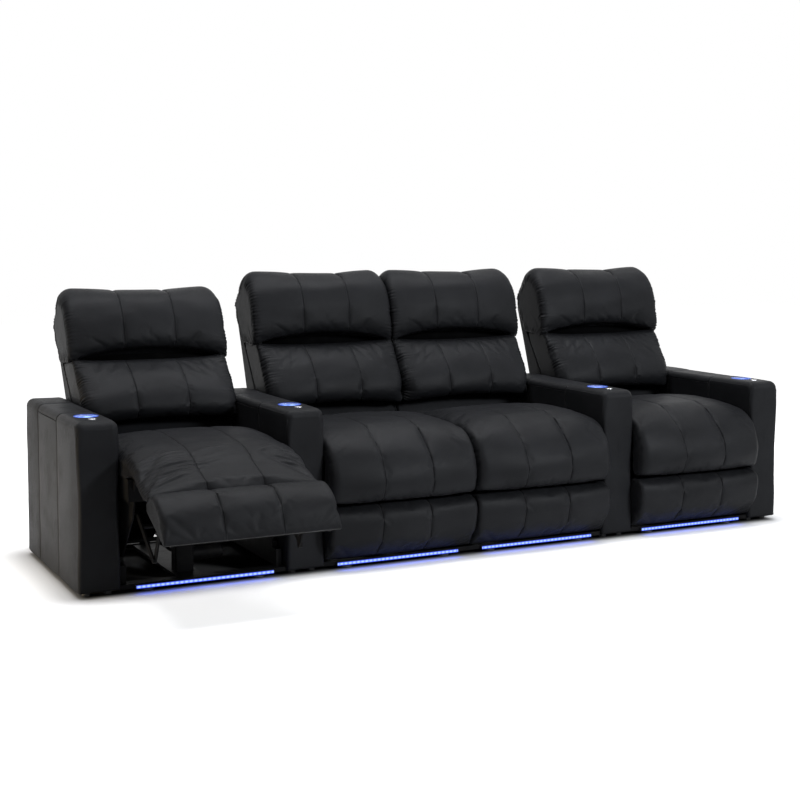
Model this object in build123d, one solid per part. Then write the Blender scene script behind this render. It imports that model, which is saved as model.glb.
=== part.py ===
from build123d import *
import math
import os

# A row of four powered recliners that share four storage arms. Millimetres, +Z up, the row faces -Y.
# Side profiles are lists of (y, z) points. Y = 0 is the front face of the arms and Z = 0 the floor.
# Every seat is modelled closed about its own centre line, then each body is moved to its stored pose.

# The row, from the left as one faces it
row_plan = ("arm", "seat", "arm", "seat", "seat", "arm", "seat", "arm")
bay_width = 635
arm_width = 150
arm_depth = 800
arm_height = 622
arm_underside = 18
arm_radius = 25

# Stored pose: footrest and back angle in degrees, for the seats that aren't closed
footrest_open = {1: 66}
back_reclined = {1: 10}
slide_per_degree = 120 / 66

# Storage box under the lid in each arm
lid_front = 295
lid_length = 296
lid_thickness = 28
lid_gap = 1.5
bin_wall = 18
bin_depth = 260

# Cup holder and recline button on the front section of each arm
cup_place = 160
cup_radius = 41
cup_wall = 1.2
cup_depth = 75
cup_rim = 5
cup_rim_height = 2
button_place = 75
button_radius = 14
button_height = 9
button_proud = 4
button_travel = 1.5
housing_wall = 1.4
housing_rim = 3
housing_depth = 14
fit_gap = 0.3

# Base frame on the floor
rail_width = 50
rail_thickness = 16
rail_front = 14
base_length = 676
foot_radius = 25
foot_height = 16
foot_spread = 212
glide_radius = 15
glide_inset = 35
track_width = 20
track_height = 64
track_inset = 10
track_setback = 26
bearing_width = 40
bearing_thickness = 12
spine_width = 100
spine_offset = -40
spine_thickness = 12

# Light strip under the front of each seat
strip_length = 527
strip_depth = 12
strip_height = 12
strip_wall = 2
lens_depth = 2

# Power unit: motor, gearbox and screw along the spine
motor_radius = 26
motor_length = 110
motor_drop = 18
motor_cap = 7
gearbox = (70, 60, 96)
gearbox_corner = 8
gearbox_front = 130
screw_radius = 9
screw_height = 72
nut_size = (44, 40, 40)
nut_place = 430
screw_gap = 0.5
screw_slack = 0.2
inlet_size = (34, 22, 22)
inlet_place = 150
inlet_bore = 5
inlet_depth = 12

# Soft pieces
side_gap = 4
seam_offset = 104
seam_depth = 5
seam_reach = 14
cushion_crown = 28
roll_crown = 26
pad_crown = 13
lumbar_crown = 24
head_crown = 18
edge_roll = 20

# Pivots in the closed seat
flap_hinge = (0, 458)
back_pivot = (560, 330)
lift_pivot = (70, 300)
rest_pivot = (50, 230)
elbow = (118, 80)
hinge_rod = 5
pin_radius = 5
pin_gap = 0.1
elbow_gap = 2.2
knuckle = 13
groove_gap = 3

# Seat frame that slides on the tracks
deck_height = 420
deck_thickness = 5
frame_front = 44
frame_length = 501
board_thickness = 18
board_height = 75
plate_thickness = 5
layer_gap = 2
link_thickness = 6
link_half_width = 11
shoe_size = (20, 60, 22)
shoe_places = (200, 400)
track_gap = 0.3
cross_tube = 8
brace_end = (58, 380)
brace_half_width = 10
plate_drop = 15
pivot_pad = 22
bracket_foot = [(548, 320), (641, 300), (641, 480), (549, 342)]

# Footrest frame: the pad's board, the front roll's board and the two swing arms
pad_board = (21, 33, 60, 268)
roll_board = (8.5, 21, 308, 405)
swing_arm = (21, 37, 60, 418)
swing_arm_half_width = 8
lift_tube_share = 0.3

# Back shell: front line from the top down, and rear line from the bottom up
shell_front = [(923, 910), (641, 490), (641, 262)]
shell_rear = [(716, 262), (745, 360), (837, 620), (951, 942)]
shell_top = (930, 950)
pillow_gap = 0.5

# Widths that follow from the values above
half_bay = bay_width / 2
soft_width = bay_width - 2 * side_gap
board_face = half_bay - 2 * side_gap - 0.5
plate_face = board_face - board_thickness
arm_layer = plate_face - plate_thickness - layer_gap
lift_layer = arm_layer - link_thickness - layer_gap - 1
rest_layer = lift_layer - link_thickness - layer_gap
bracket_layer = rest_layer - link_thickness - layer_gap - 1
lid_rear = lid_front + lid_length
base_top = foot_height + rail_thickness
track_top = base_top + track_height
deck_top = deck_height + deck_thickness


def slab(outline, x_low, x_high):
    """Side outline of (y, z) points, filled between two X planes."""
    face = make_face(Polyline(*[(0, y, z) for y, z in outline], close=True))
    return extrude(Pos(x_low, 0, 0) * face, x_high - x_low, dir=(1, 0, 0))


def rod(place, radius, x_low, x_high):
    """Round bar along X at a (y, z) place."""
    bar = Cylinder(radius, x_high - x_low, align=(Align.CENTER, Align.CENTER, Align.MIN))
    return Pos(x_low, place[0], place[1]) * Rot(0, 90, 0) * bar


def block(x_low, x_high, y_low, y_high, z_low, z_high):
    size = (x_high - x_low, y_high - y_low, z_high - z_low)
    return Pos(x_low, y_low, z_low) * Box(*size, align=(Align.MIN,) * 3)


def bar_between(start, end, half_width, x_low, x_high):
    """Flat link with round ends between two (y, z) places."""
    along = math.dist(start, end)
    side = ((end[1] - start[1]) / along * half_width, (start[0] - end[0]) / along * half_width)
    outline = [
        (start[0] + side[0], start[1] + side[1]),
        (end[0] + side[0], end[1] + side[1]),
        (end[0] - side[0], end[1] - side[1]),
        (start[0] - side[0], start[1] - side[1]),
    ]
    ends = rod(start, half_width, x_low, x_high) + rod(end, half_width, x_low, x_high)
    return slab(outline, x_low, x_high) + ends


def both_sides(shape):
    return shape + mirror(shape, about=Plane.YZ)


def turned(place, degrees, shape):
    """Turn about a (y, z) axis so that the front goes up and the top goes back."""
    return Pos(0, *place) * Rot(-degrees, 0, 0) * Pos(0, -place[0], -place[1]) * shape


def soft_form(face, rear, width, crown, end_share=0.4):
    """Upholstered piece with a crown, rolled side edges and two sewn channels.

    face holds an odd number of (y, z) points with the outside on the left of the way they run,
    rear holds the points that close the outline, and end_share is how much the crown lifts the ends.
    """
    half = width / 2
    panel_end = half - edge_roll
    outer_start, inner_end = seam_offset + seam_reach, seam_offset - seam_reach
    right = [half, half - 0.12 * edge_roll, half - 0.45 * edge_roll, panel_end]
    right += [(panel_end + outer_start) / 2, outer_start, seam_offset, inner_end, 0]
    stations = [-x for x in right] + right[-2::-1]
    normals = []
    for i in range(len(face)):
        before, after = face[max(i - 1, 0)], face[min(i + 1, len(face) - 1)]
        run = math.dist(before, after)
        normals.append(((before[1] - after[1]) / run, (after[0] - before[0]) / run))
    wires = []
    for x in stations:
        from_edge = max(0, abs(x) - half + edge_roll) / edge_roll
        rise = crown * (1 - abs(x / half) ** 3)
        rise -= 0.6 * edge_roll * (1 - math.sqrt(1 - min(1, from_edge) ** 2))
        if math.isclose(abs(x), seam_offset):
            rise -= seam_depth
        points = []
        for i, ((y, z), (ny, nz)) in enumerate(zip(face, normals)):
            share = end_share if i in (0, len(face) - 1) else 1
            points.append((x, y + ny * rise * share, z + nz * rise * share))
        edges = [ThreePointArc(*points[i:i + 3]) for i in range(0, len(points) - 2, 2)]
        closing = [points[-1]] + [(x, y, z) for y, z in rear] + [points[0]]
        edges += [Line(a, b) for a, b in zip(closing, closing[1:])]
        wires.append(Wire(edges))
    return Solid.make_loft(wires, ruled=True)


# Soft pieces of one closed seat, about its centre line


def hinge_groove():
    return rod(flap_hinge, knuckle + groove_gap, -half_bay, half_bay)


def cushion():
    face = [(12, 478), (30, 488), (60, 494), (150, 508), (300, 514), (450, 508), (560, 490)]
    floor = deck_top + fit_gap
    rear = [(568, 470), (568, floor), (72, floor), (24, 464)]
    return soft_form(face, rear, soft_width, cushion_crown) - hinge_groove()


def front_roll():
    face = [(-57, 279), (-69, 304), (-71, 333), (-67, 360), (-55, 390), (-40, 418), (-18, 448)]
    rear = [(0, 440), (8, 420), (8, 304), (-24, 298), (-45, 278)]
    return soft_form(face, rear, soft_width, roll_crown) - hinge_groove()


def footrest_pad():
    face = [(17, 41), (-2, 51), (-27, 78), (-52, 112), (-62, 152), (-66, 196), (-54, 234)]
    face += [(-35, 252), (-12, 261)]
    back = pad_board[0] - fit_gap
    rear = [(back, 260), (back, 46)]
    return soft_form(face, rear, soft_width, pad_crown, 0.3)


def shell_front_at(z):
    (y_top, z_top), (y_low, z_low) = shell_front[0], shell_front[1]
    return y_low + (z - z_low) * (y_top - y_low) / (z_top - z_low) - pillow_gap


def lumbar_pillow():
    face = [(606, 548), (582, 574), (572, 608), (582, 646), (612, 688), (650, 737), (690, 795)]
    top, bottom = 808, 549
    rear = [(702, top), (shell_front_at(top), top), (shell_front_at(bottom), bottom)]
    return soft_form(face, rear, soft_width, lumbar_crown)


def head_pillow():
    face = [(704, 824), (697, 862), (706, 926), (722, 985), (748, 1038), (788, 1082), (838, 1106)]
    face += [(888, 1086), (916, 1038), (930, 998), (934, 966)]
    rear = [(shell_top[0] - 7, shell_top[1] + 6), (shell_front_at(912) - 1, 912)]
    rear += [(shell_front_at(815), 815), (716, 815)]
    return soft_form(face, rear, soft_width, head_crown)


def back_shell():
    outline = shell_front[::-1] + [shell_top] + shell_rear[::-1]
    half = soft_width / 2
    shell = slab(outline, -half, half)
    long_edges = [e for e in shell.edges().filter_by(Axis.X) if e.center().Z > 700 or e.center().Y > 700]
    shell = fillet(long_edges, 6)
    low, high = arm_layer - link_thickness, arm_layer
    bracket = slab(bracket_foot, low, high)
    bracket += rod(back_pivot, knuckle, low, high)
    bracket -= rod(back_pivot, pin_radius + pin_gap, low - 1, high + 1)
    return Compound([shell, bracket, mirror(bracket, about=Plane.YZ)])


# Steel and board pieces of one closed seat


def seat_frame():
    """Sliding frame: four boards, a deck, two steel side plates that carry every pivot, and two cross bars."""
    front, rear = frame_front, frame_front + frame_length
    low, high = deck_height - board_height, deck_height
    inner = plate_face - plate_thickness
    side = block(plate_face, board_face, front, rear, low, high)
    pieces = [side, mirror(side, about=Plane.YZ)]
    pieces.append(block(-inner, inner, front, front + board_thickness, low, high))
    pieces.append(block(-inner, inner, rear - board_thickness, rear, low, high))
    pieces.append(block(-board_face, board_face, front, rear, deck_height, deck_top))
    shoe_low = track_top + track_gap
    shoe_high = shoe_low + shoe_size[2]
    first, last = shoe_places[0], shoe_places[1] + shoe_size[1]
    outline = [
        (front, high), (front, low - plate_drop), (front + plate_drop, lift_pivot[1] - plate_drop),
        (first, shoe_high), (first, shoe_low), (last, shoe_low), (last, shoe_high),
        (back_pivot[0], back_pivot[1] - pivot_pad), (back_pivot[0] + pivot_pad, back_pivot[1]),
        (back_pivot[0] + plate_drop, back_pivot[1] + 2 * plate_drop), (rear, high),
    ]
    plate = slab(outline, inner, plate_face)
    plate += bar_between(flap_hinge, brace_end, brace_half_width, inner, plate_face)
    plate += rod(lift_pivot, pin_radius, lift_layer - link_thickness - 1, plate_face)
    plate += rod(back_pivot, pin_radius, arm_layer - link_thickness - 2, plate_face)
    track_middle = half_bay - track_inset - track_width / 2
    for place in shoe_places:
        plate += block(inner, track_middle + shoe_size[0] / 2, place, place + shoe_size[1], shoe_low, shoe_high)
    pieces += [plate, mirror(plate, about=Plane.YZ), rod(flap_hinge, hinge_rod, -inner, inner)]
    screw_axis = base_top + screw_height
    x_half, y_half, z_half = (size / 2 for size in nut_size)
    tube = rod((nut_place, screw_axis + z_half - cross_tube / 2), cross_tube, -inner, inner)
    tube += block(spine_offset - x_half, spine_offset + x_half, nut_place - y_half, nut_place + y_half,
                  screw_axis - z_half, screw_axis + z_half)
    bore = Pos(spine_offset, nut_place, screw_axis) * Rot(90, 0, 0)
    pieces.append(tube - bore * Cylinder(screw_radius + screw_gap, 2 * nut_size[1]))
    return Compound(pieces)


def footrest_frame():
    """Swing frame of the footrest: two arms on the hinge rod, the pad's board and the roll's board."""
    low, high = arm_layer - link_thickness, arm_layer
    front, rear, bottom, top = swing_arm
    arm = block(low, high, front, rear, bottom, top)
    arm += bar_between(flap_hinge, (rear - swing_arm_half_width, top - 4), swing_arm_half_width, low, high)
    arm += rod(flap_hinge, knuckle, low, high)
    arm -= rod(flap_hinge, hinge_rod + pin_gap, low - 1, high + 1)
    board_rear = pad_board[1]
    y, z = rest_pivot
    bracket = slab([(board_rear - 6, z + 30), (board_rear - 6, z - 34), (y + 6, z - 10), (y + 8, z + 9)],
                   bracket_layer - link_thickness, bracket_layer)
    bracket += rod(rest_pivot, link_half_width, bracket_layer - link_thickness, bracket_layer)
    bracket += rod(rest_pivot, pin_radius, bracket_layer - link_thickness, rest_layer)
    frame = both_sides(arm + bracket)
    for y_low, y_high, z_low, z_high in (pad_board, roll_board):
        frame += block(-high, high, y_low, y_high, z_low, z_high)
    return frame


def lift_links():
    low, high = lift_layer - link_thickness, lift_layer
    link = bar_between(lift_pivot, elbow, link_half_width, low, high)
    link -= rod(lift_pivot, pin_radius + pin_gap, low - 1, high + 1)
    link += rod(elbow, pin_radius, rest_layer - link_thickness, high)
    middle = tuple(a + lift_tube_share * (b - a) for a, b in zip(lift_pivot, elbow))
    return both_sides(link) + rod(middle, cross_tube, -low, low)


def rest_links():
    low, high = rest_layer - link_thickness, rest_layer
    link = bar_between(rest_pivot, elbow, link_half_width, low, high)
    link -= rod(rest_pivot, pin_radius + pin_gap, low - 1, high + 1)
    link -= rod(elbow, pin_radius + elbow_gap, low - 1, high + 1)
    return Compound([link, mirror(link, about=Plane.YZ)])


# Fixed pieces under one seat


def base_frame():
    """Two cross rails, a spine and two tracks, welded into one frame."""
    rear = rail_front + base_length
    frame = block(-half_bay, half_bay, rail_front, rail_front + rail_width, foot_height, base_top)
    frame += block(-half_bay, half_bay, rear - rail_width, rear, foot_height, base_top)
    spine_low = spine_offset - spine_width / 2
    frame += block(spine_low, spine_low + spine_width, rail_front + rail_width - 1, rear - rail_width + 1,
                   foot_height, foot_height + spine_thickness)
    outer = half_bay - track_inset
    track = block(outer - track_width, outer, rail_front + track_setback, rear, base_top, track_top)
    frame += both_sides(track)
    start, half = rear - rail_width, bearing_width / 2
    bearing = block(spine_offset - half, spine_offset + half, start, start + bearing_thickness,
                    base_top, base_top + screw_height + half)
    bearing -= Pos(spine_offset, start, base_top + screw_height) * Rot(90, 0, 0) * Cylinder(screw_radius, rail_width)
    return frame + bearing


def power_unit():
    """Gearbox on the spine, a motor across the seat and the screw that drives the sliding frame."""
    x_size, y_size, z_size = gearbox
    floor, screw_axis = foot_height + spine_thickness, base_top + screw_height
    start = spine_offset + x_size / 2
    box = block(spine_offset - x_size / 2, start, gearbox_front, gearbox_front + y_size, floor, floor + z_size)
    box = fillet(box.edges().filter_by(Axis.Z), gearbox_corner)
    motor_axis = (gearbox_front + y_size / 2, screw_axis - motor_drop)
    motor = rod(motor_axis, motor_radius, start, start + motor_length)
    cap_start = start + motor_length
    cap = rod(motor_axis, motor_radius - motor_cap, cap_start, cap_start + motor_cap)
    screw_end = rail_front + base_length - rail_width + bearing_thickness
    screw = Cylinder(screw_radius - screw_slack, screw_end - gearbox_front - y_size,
                     align=(Align.CENTER, Align.CENTER, Align.MIN))
    return Compound([box, motor + cap, Pos(spine_offset, screw_end, screw_axis) * Rot(90, 0, 0) * screw])


def light_strip():
    """Channel on the front rail with a lens along its front."""
    half, front, top = strip_length / 2, rail_front - strip_depth, foot_height + strip_height
    low, high = foot_height + strip_wall, top - strip_wall
    inner = half - strip_wall
    channel = block(-half, half, front, rail_front, foot_height, top)
    channel -= block(-inner, inner, front - 1, front + lens_depth, low, high)
    return Compound([channel, block(-inner, inner, front, front + lens_depth, low, high)])


def seat_feet():
    feet = []
    for x in (-foot_spread, foot_spread):
        for y in (rail_front + rail_width / 2, rail_front + base_length - rail_width / 2):
            foot = Cylinder(foot_radius, foot_height, align=(Align.CENTER, Align.CENTER, Align.MIN))
            foot = chamfer(foot.edges().sort_by(Axis.Z)[:1], 3)
            feet.append(Pos(x, y, 0) * foot)
    return Compound(feet)


def power_inlet():
    rear = rail_front + base_length
    x_size, y_size, z_size = inlet_size
    body = block(inlet_place - x_size / 2, inlet_place + x_size / 2, rear, rear + y_size,
                 foot_height, foot_height + z_size)
    hole = Pos(inlet_place, rear + y_size, foot_height + z_size / 2) * Rot(90, 0, 0)
    return body - hole * Cylinder(inlet_bore, 2 * inlet_depth)


# One arm, from its outer left face


def arm_blank():
    blank = block(0, arm_width, 0, arm_depth, arm_underside, arm_height)
    top = blank.edges().filter_by(Axis.Y).sort_by(Axis.Z)[-2:]
    front = blank.edges().filter_by(Axis.X).filter_by_position(Axis.Y, -1, 1).sort_by(Axis.Z)[-1:]
    upright = blank.edges().filter_by(Axis.Z).filter_by_position(Axis.Y, -1, 1)
    return fillet(list(top) + list(front) + list(upright), arm_radius)


def arm_body():
    body = arm_blank()
    body -= block(-1, arm_width + 1, lid_front, lid_rear, arm_height - lid_thickness - fit_gap, arm_height + 1)
    body -= block(bin_wall, arm_width - bin_wall, lid_front + bin_wall, lid_rear - bin_wall,
                  arm_height - lid_thickness - bin_depth, arm_height)
    cup_hole = Cylinder(cup_radius + fit_gap, cup_depth + fit_gap,
                        align=(Align.CENTER, Align.CENTER, Align.MAX))
    body -= Pos(arm_width / 2, cup_place, arm_height) * cup_hole
    button_hole = Cylinder(button_radius + fit_gap + housing_wall + fit_gap, housing_depth + fit_gap,
                           align=(Align.CENTER, Align.CENTER, Align.MAX))
    return body - Pos(arm_width / 2, button_place, arm_height) * button_hole


def arm_lid():
    return arm_blank() & block(0, arm_width, lid_front + lid_gap, lid_rear - lid_gap,
                               arm_height - lid_thickness, arm_height)


def cup_holder():
    center = (Align.CENTER, Align.CENTER, Align.MAX)
    cup = Cylinder(cup_radius, cup_depth, align=center)
    rim = Cylinder(cup_radius + cup_rim, cup_rim_height, align=(Align.CENTER, Align.CENTER, Align.MIN))
    inside = Cylinder(cup_radius - cup_wall, cup_depth - cup_wall + cup_rim_height, align=center)
    shape = cup + rim - Pos(0, 0, cup_rim_height) * inside
    return Pos(arm_width / 2, cup_place, arm_height) * shape


def button_housing():
    center = (Align.CENTER, Align.CENTER, Align.MAX)
    outer = button_radius + fit_gap + housing_wall
    tub = Cylinder(outer, housing_depth, align=center)
    rim = Cylinder(outer + housing_rim, 1.5, align=(Align.CENTER, Align.CENTER, Align.MIN))
    inside = Cylinder(button_radius + fit_gap, housing_depth, align=center)
    return Pos(arm_width / 2, button_place, arm_height) * (tub + rim - Pos(0, 0, 2.5) * inside)


def button():
    top = arm_height + button_proud
    cap = Cylinder(button_radius, button_height, align=(Align.CENTER, Align.CENTER, Align.MAX))
    cap = fillet(cap.edges().sort_by(Axis.Z)[-1:], 1.2)
    return Pos(arm_width / 2, button_place, top) * cap


def arm_glides():
    glides = []
    for x in (glide_inset, arm_width - glide_inset):
        for y in (glide_inset + glide_radius, arm_depth - glide_inset - glide_radius):
            glide = Cylinder(glide_radius, arm_underside, align=(Align.CENTER, Align.CENTER, Align.MIN))
            glides.append(Pos(x, y, 0) * chamfer(glide.edges().sort_by(Axis.Z)[:1], 2))
    return Compound(glides)


# The row

seat_bodies = {
    "carriage": {"frame": seat_frame, "cushion": cushion},
    "footrest": {"front_roll": front_roll, "footrest_frame": footrest_frame, "footrest_pad": footrest_pad},
    "lift_links": {"lift_links": lift_links},
    "rest_links": {"rest_links": rest_links},
    "back": {"back_shell": back_shell, "lumbar_pillow": lumbar_pillow, "head_pillow": head_pillow},
}
arm_pieces = {"body": arm_body, "lid": arm_lid, "button": button}
shared_under_seats = {
    "base_frames": base_frame, "power_units": power_unit, "light_strips": light_strip,
    "feet": seat_feet, "power_inlets": power_inlet,
}
shared_in_arms = {"cup_holders": cup_holder, "button_housings": button_housing, "feet": arm_glides}

# How far each link turns for one degree of the footrest, worked out so that the elbow stays closed
lift_ratio = 1.025
rest_ratio = -1.032


def posed(body, shape, number):
    """Moves a closed body to the pose that its seat is stored in."""
    opened = footrest_open.get(number, 0)
    if body == "footrest":
        shape = turned(flap_hinge, opened, shape)
    elif body == "lift_links":
        shape = turned(lift_pivot, lift_ratio * opened, shape)
    elif body == "rest_links":
        shape = turned(flap_hinge, opened, turned(rest_pivot, rest_ratio * opened, shape))
    elif body == "back":
        shape = turned(back_pivot, back_reclined.get(number, 0), shape)
    return Pos(0, -slide_per_degree * opened, 0) * shape


def flat_list(shapes):
    return [solid for shape in shapes for solid in shape.solids()]


def build_row():
    nodes, shared = {}, {}
    arm_starts, bay_middles = [], []
    closed = {name: make() for group in seat_bodies.values() for name, make in group.items()}
    arm_shapes = {name: make() for name, make in arm_pieces.items()}
    x = 0
    for kind in row_plan:
        if kind == "arm":
            arm_starts.append(x)
            for name, shape in arm_shapes.items():
                nodes[f"arm_{len(arm_starts)}_{name}"] = [Pos(x, 0, 0) * shape]
            for name, make in shared_in_arms.items():
                shared.setdefault(name, []).append(Pos(x, 0, 0) * make())
            x += arm_width
        else:
            middle = x + half_bay
            bay_middles.append(middle)
            number = len(bay_middles)
            for body, group in seat_bodies.items():
                for name in group:
                    shape = posed(body, closed[name], number)
                    nodes[f"seat_{number}_{name}"] = [Pos(middle, 0, 0) * shape]
            for name, make in shared_under_seats.items():
                shared.setdefault(name, []).append(Pos(middle, 0, 0) * make())
            x += bay_width
    nodes.update(shared)
    return {name: flat_list(shapes) for name, shapes in nodes.items()}, arm_starts, bay_middles


nodes, arm_starts, bay_middles = build_row()
extent = Compound([s for solids in nodes.values() for s in solids]).bounding_box()
origin = Vector(extent.center().X, extent.center().Y, extent.min.Z)
os.makedirs("parts", exist_ok=True)
for name, solids in nodes.items():
    moved = [Pos(-origin) * solid for solid in solids]
    export_step(moved[0] if len(moved) == 1 else Compound(moved), f"parts/{name}.step")
print("nodes", len(nodes), "size", [round(v, 1) for v in extent.size], "origin", [round(v, 2) for v in origin])
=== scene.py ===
import math
import time

import bpy
import numpy as np
from mathutils import Matrix, Vector


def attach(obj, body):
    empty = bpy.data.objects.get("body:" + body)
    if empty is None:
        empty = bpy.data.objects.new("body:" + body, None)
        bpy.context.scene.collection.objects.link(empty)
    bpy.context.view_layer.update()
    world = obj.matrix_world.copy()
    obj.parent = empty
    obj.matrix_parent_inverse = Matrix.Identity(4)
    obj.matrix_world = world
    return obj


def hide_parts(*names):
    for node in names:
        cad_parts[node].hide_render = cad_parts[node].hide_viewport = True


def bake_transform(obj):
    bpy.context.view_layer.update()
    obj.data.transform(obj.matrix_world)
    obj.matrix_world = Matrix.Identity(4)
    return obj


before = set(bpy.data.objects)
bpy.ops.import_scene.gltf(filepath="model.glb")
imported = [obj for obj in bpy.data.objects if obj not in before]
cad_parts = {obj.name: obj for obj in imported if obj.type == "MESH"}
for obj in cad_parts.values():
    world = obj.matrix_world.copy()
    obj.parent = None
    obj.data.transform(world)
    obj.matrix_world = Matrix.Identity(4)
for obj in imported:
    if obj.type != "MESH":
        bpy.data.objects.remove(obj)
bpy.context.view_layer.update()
print("frame loaded")

# Side profiles are lists of (y, z) in millimetres for a closed seat about its own middle line, y = 0 at the
# arms' front and z = 0 on the floor. seatPoints() turns them into the row frame in metres.
mm = 0.001
row = {
    "bayMiddles": (-1102.5, -317.5, 317.5, 1102.5),
    "armMiddles": (-1495.0, -710.0, 710.0, 1495.0),
    "armBeside": {1: (1, 1), 2: (1, 0), 3: (0, 1), 4: (1, 1)},  # an arm at the seat's left, right
    "frontShift": 222.13,
    "footrestOpen": {1: 66.0},
    "backReclined": {1: 10.0},
    "slidePerDegree": 120 / 66,
    "flapHinge": (0.0, 458.0),
    "backPivot": (560.0, 330.0),
}
seats = range(1, len(row["bayMiddles"]) + 1)
arms = range(1, len(row["armMiddles"]) + 1)
sides = (("left", -1), ("right", 1))


def throughPoints(points, count, dense=24):
    # Catmull-Rom curve through the points, then `count` points at equal steps of its length
    p = np.asarray(points, float)
    p = np.vstack([2 * p[0] - p[1], p, 2 * p[-1] - p[-2]])
    t = np.linspace(0, 1, dense, endpoint=False)[None, :, None]
    a, b, c, d = (p[i:len(p) - 3 + i][:, None, :] for i in range(4))
    curve = 0.5 * (2 * b + (c - a) * t + (2 * a - 5 * b + 4 * c - d) * t ** 2
                   + (3 * b - a - 3 * c + d) * t ** 3)
    curve = np.vstack([curve.reshape(-1, p.shape[1]), p[-2]])
    run = lengthAlong(curve)
    at = np.linspace(0, run[-1], count)
    return np.column_stack([np.interp(at, run, curve[:, k]) for k in range(p.shape[1])])


def lengthAlong(line):
    # running length at each point of a line
    return np.concatenate([[0], np.cumsum(np.linalg.norm(np.diff(line, axis=0), axis=1))])


def smoothStep(low, high, x):
    # 0 up to low, 1 from high on, and t * t * (3 - 2 * t) between them
    t = np.clip((x - low) / (high - low), 0, 1)
    return t * t * (3 - 2 * t)


def waves(x, wavelength, seed, count=5, y=0.0):
    # sum of sines over the root of their count; each has its own length, 0.7 to 1.4 of `wavelength`, and its
    # own phase and slant
    rng = np.random.default_rng(seed)
    fullTurn, total = 6.283, 0.0
    for _ in range(count):
        length = wavelength * rng.uniform(0.7, 1.4)
        phase, slant = rng.uniform(0, fullTurn), rng.uniform(-0.5, 0.5)
        total = total + np.sin(fullTurn * (x + slant * y) / length + phase)
    return total / math.sqrt(count)


def turnedBy(points, place, degrees):
    # turn about the X axis through (y, z) = place, the front going up
    angle = np.radians(degrees)
    y, z = points[..., 1] - place[0], points[..., 2] - place[1]
    c, s = np.cos(angle), np.sin(angle)
    return np.stack([points[..., 0], place[0] + y * c + z * s, place[1] - y * s + z * c], axis=-1)


def seatPoints(points, seat, body):
    # closed-seat millimetres to the row frame in metres, at the pose in which the seat is stored
    opened = row["footrestOpen"].get(seat, 0.0)
    if body == "footrest":
        points = turnedBy(points, row["flapHinge"], opened)
    elif body == "back":
        points = turnedBy(points, row["backPivot"], row["backReclined"].get(seat, 0.0))
    shift = (row["bayMiddles"][seat - 1], -row["slidePerDegree"] * opened - row["frontShift"], 0.0)
    return (points + np.array(shift)) * mm


def onSeat(seat, body):
    return lambda points: seatPoints(points, seat, body)


def fixedAt(x):
    # millimetres about the line x to the row frame in metres, for what is fixed to the base
    shift = np.array((x, -row["frontShift"], 0.0))
    return lambda points: (points + shift) * mm


def onArm(arm):
    return fixedAt(row["armMiddles"][arm - 1])


def gridNormals(grid):
    # cross product of the steps round the section and across it
    along = np.roll(grid, -1, axis=0) - np.roll(grid, 1, axis=0)
    across = np.gradient(grid, axis=1)
    normal = np.cross(along, across)
    length = np.linalg.norm(normal, axis=-1, keepdims=True)
    return normal / np.maximum(length, 1e-9)


def gridFaces(rows, columns, closed=True):
    # quads between neighbouring rows and columns; in a closed grid the last row joins the first
    i, j = np.meshgrid(np.arange(rows if closed else rows - 1), np.arange(columns - 1), indexing="ij")
    k = (i + 1) % rows
    corners = [i * columns + j, k * columns + j, k * columns + j + 1, i * columns + j + 1]
    return np.stack(corners, -1).reshape(-1, 4)


def welded(points, quads, apart=1e-3):
    # merges points that coincide, so that poles and closing seams are shut
    # a quad that loses one corner becomes a triangle
    cells = np.round(points / apart).astype(np.int64)
    _, first, back = np.unique(cells, axis=0, return_index=True, return_inverse=True)
    back = back.ravel()
    quads = back[quads]
    same = quads == np.roll(quads, -1, axis=1)
    lost = same.sum(axis=1)
    whole = quads[(lost == 0) & (quads[:, 0] != quads[:, 2]) & (quads[:, 1] != quads[:, 3])]
    cut, where = quads[lost == 1], same[lost == 1].argmax(axis=1)
    order = (where[:, None] + np.arange(1, 4)) % 4
    return points[first], whole, np.take_along_axis(cut, order, axis=1), back


def signedVolume(points, quads):
    # six times the volume inside the quads, each as two triangles; negative where they face inwards
    a, b, c, d = (points[quads[:, k]] for k in range(4))
    return np.einsum("ij,ij->i", a, np.cross(b, c)).sum() + np.einsum("ij,ij->i", a, np.cross(c, d)).sum()


def closedFaces(grid):
    # the grid's welded points with its quads and triangles facing outwards, and the point of each grid place
    points, quads, triangles, back = welded(grid.reshape(-1, 3), gridFaces(*grid.shape[:2]))
    if signedVolume(points, quads) < 0:
        quads, triangles = quads[:, ::-1], triangles[:, ::-1]
    return points, quads, triangles, back


def newMesh(name, points, quads, triangles=()):
    # smooth mesh object from points in metres
    mesh = bpy.data.meshes.new(name)
    mesh.from_pydata(points.tolist(), [], quads.tolist() + (triangles.tolist() if len(triangles) else []))
    mesh.update()
    mesh.polygons.foreach_set("use_smooth", np.ones(len(mesh.polygons), bool))
    piece = bpy.data.objects.new(name, mesh)
    bpy.context.scene.collection.objects.link(piece)
    return piece


def solidFrom(name, grid, toRow=None, fields=None):
    # closed mesh from a grid in millimetres; fields are per-point values that its material reads
    points, quads, triangles, back = closedFaces(grid)
    first = np.zeros(len(points), int)
    first[back] = np.arange(grid.shape[0] * grid.shape[1])
    piece = newMesh(name, toRow(points) if toRow else points * mm, quads, triangles)
    for field, values in (fields or {}).items():
        made = piece.data.attributes.new(field, "FLOAT", "POINT")
        made.data.foreach_set("value", np.asarray(values, np.float32).reshape(-1)[first])
    return piece


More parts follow.
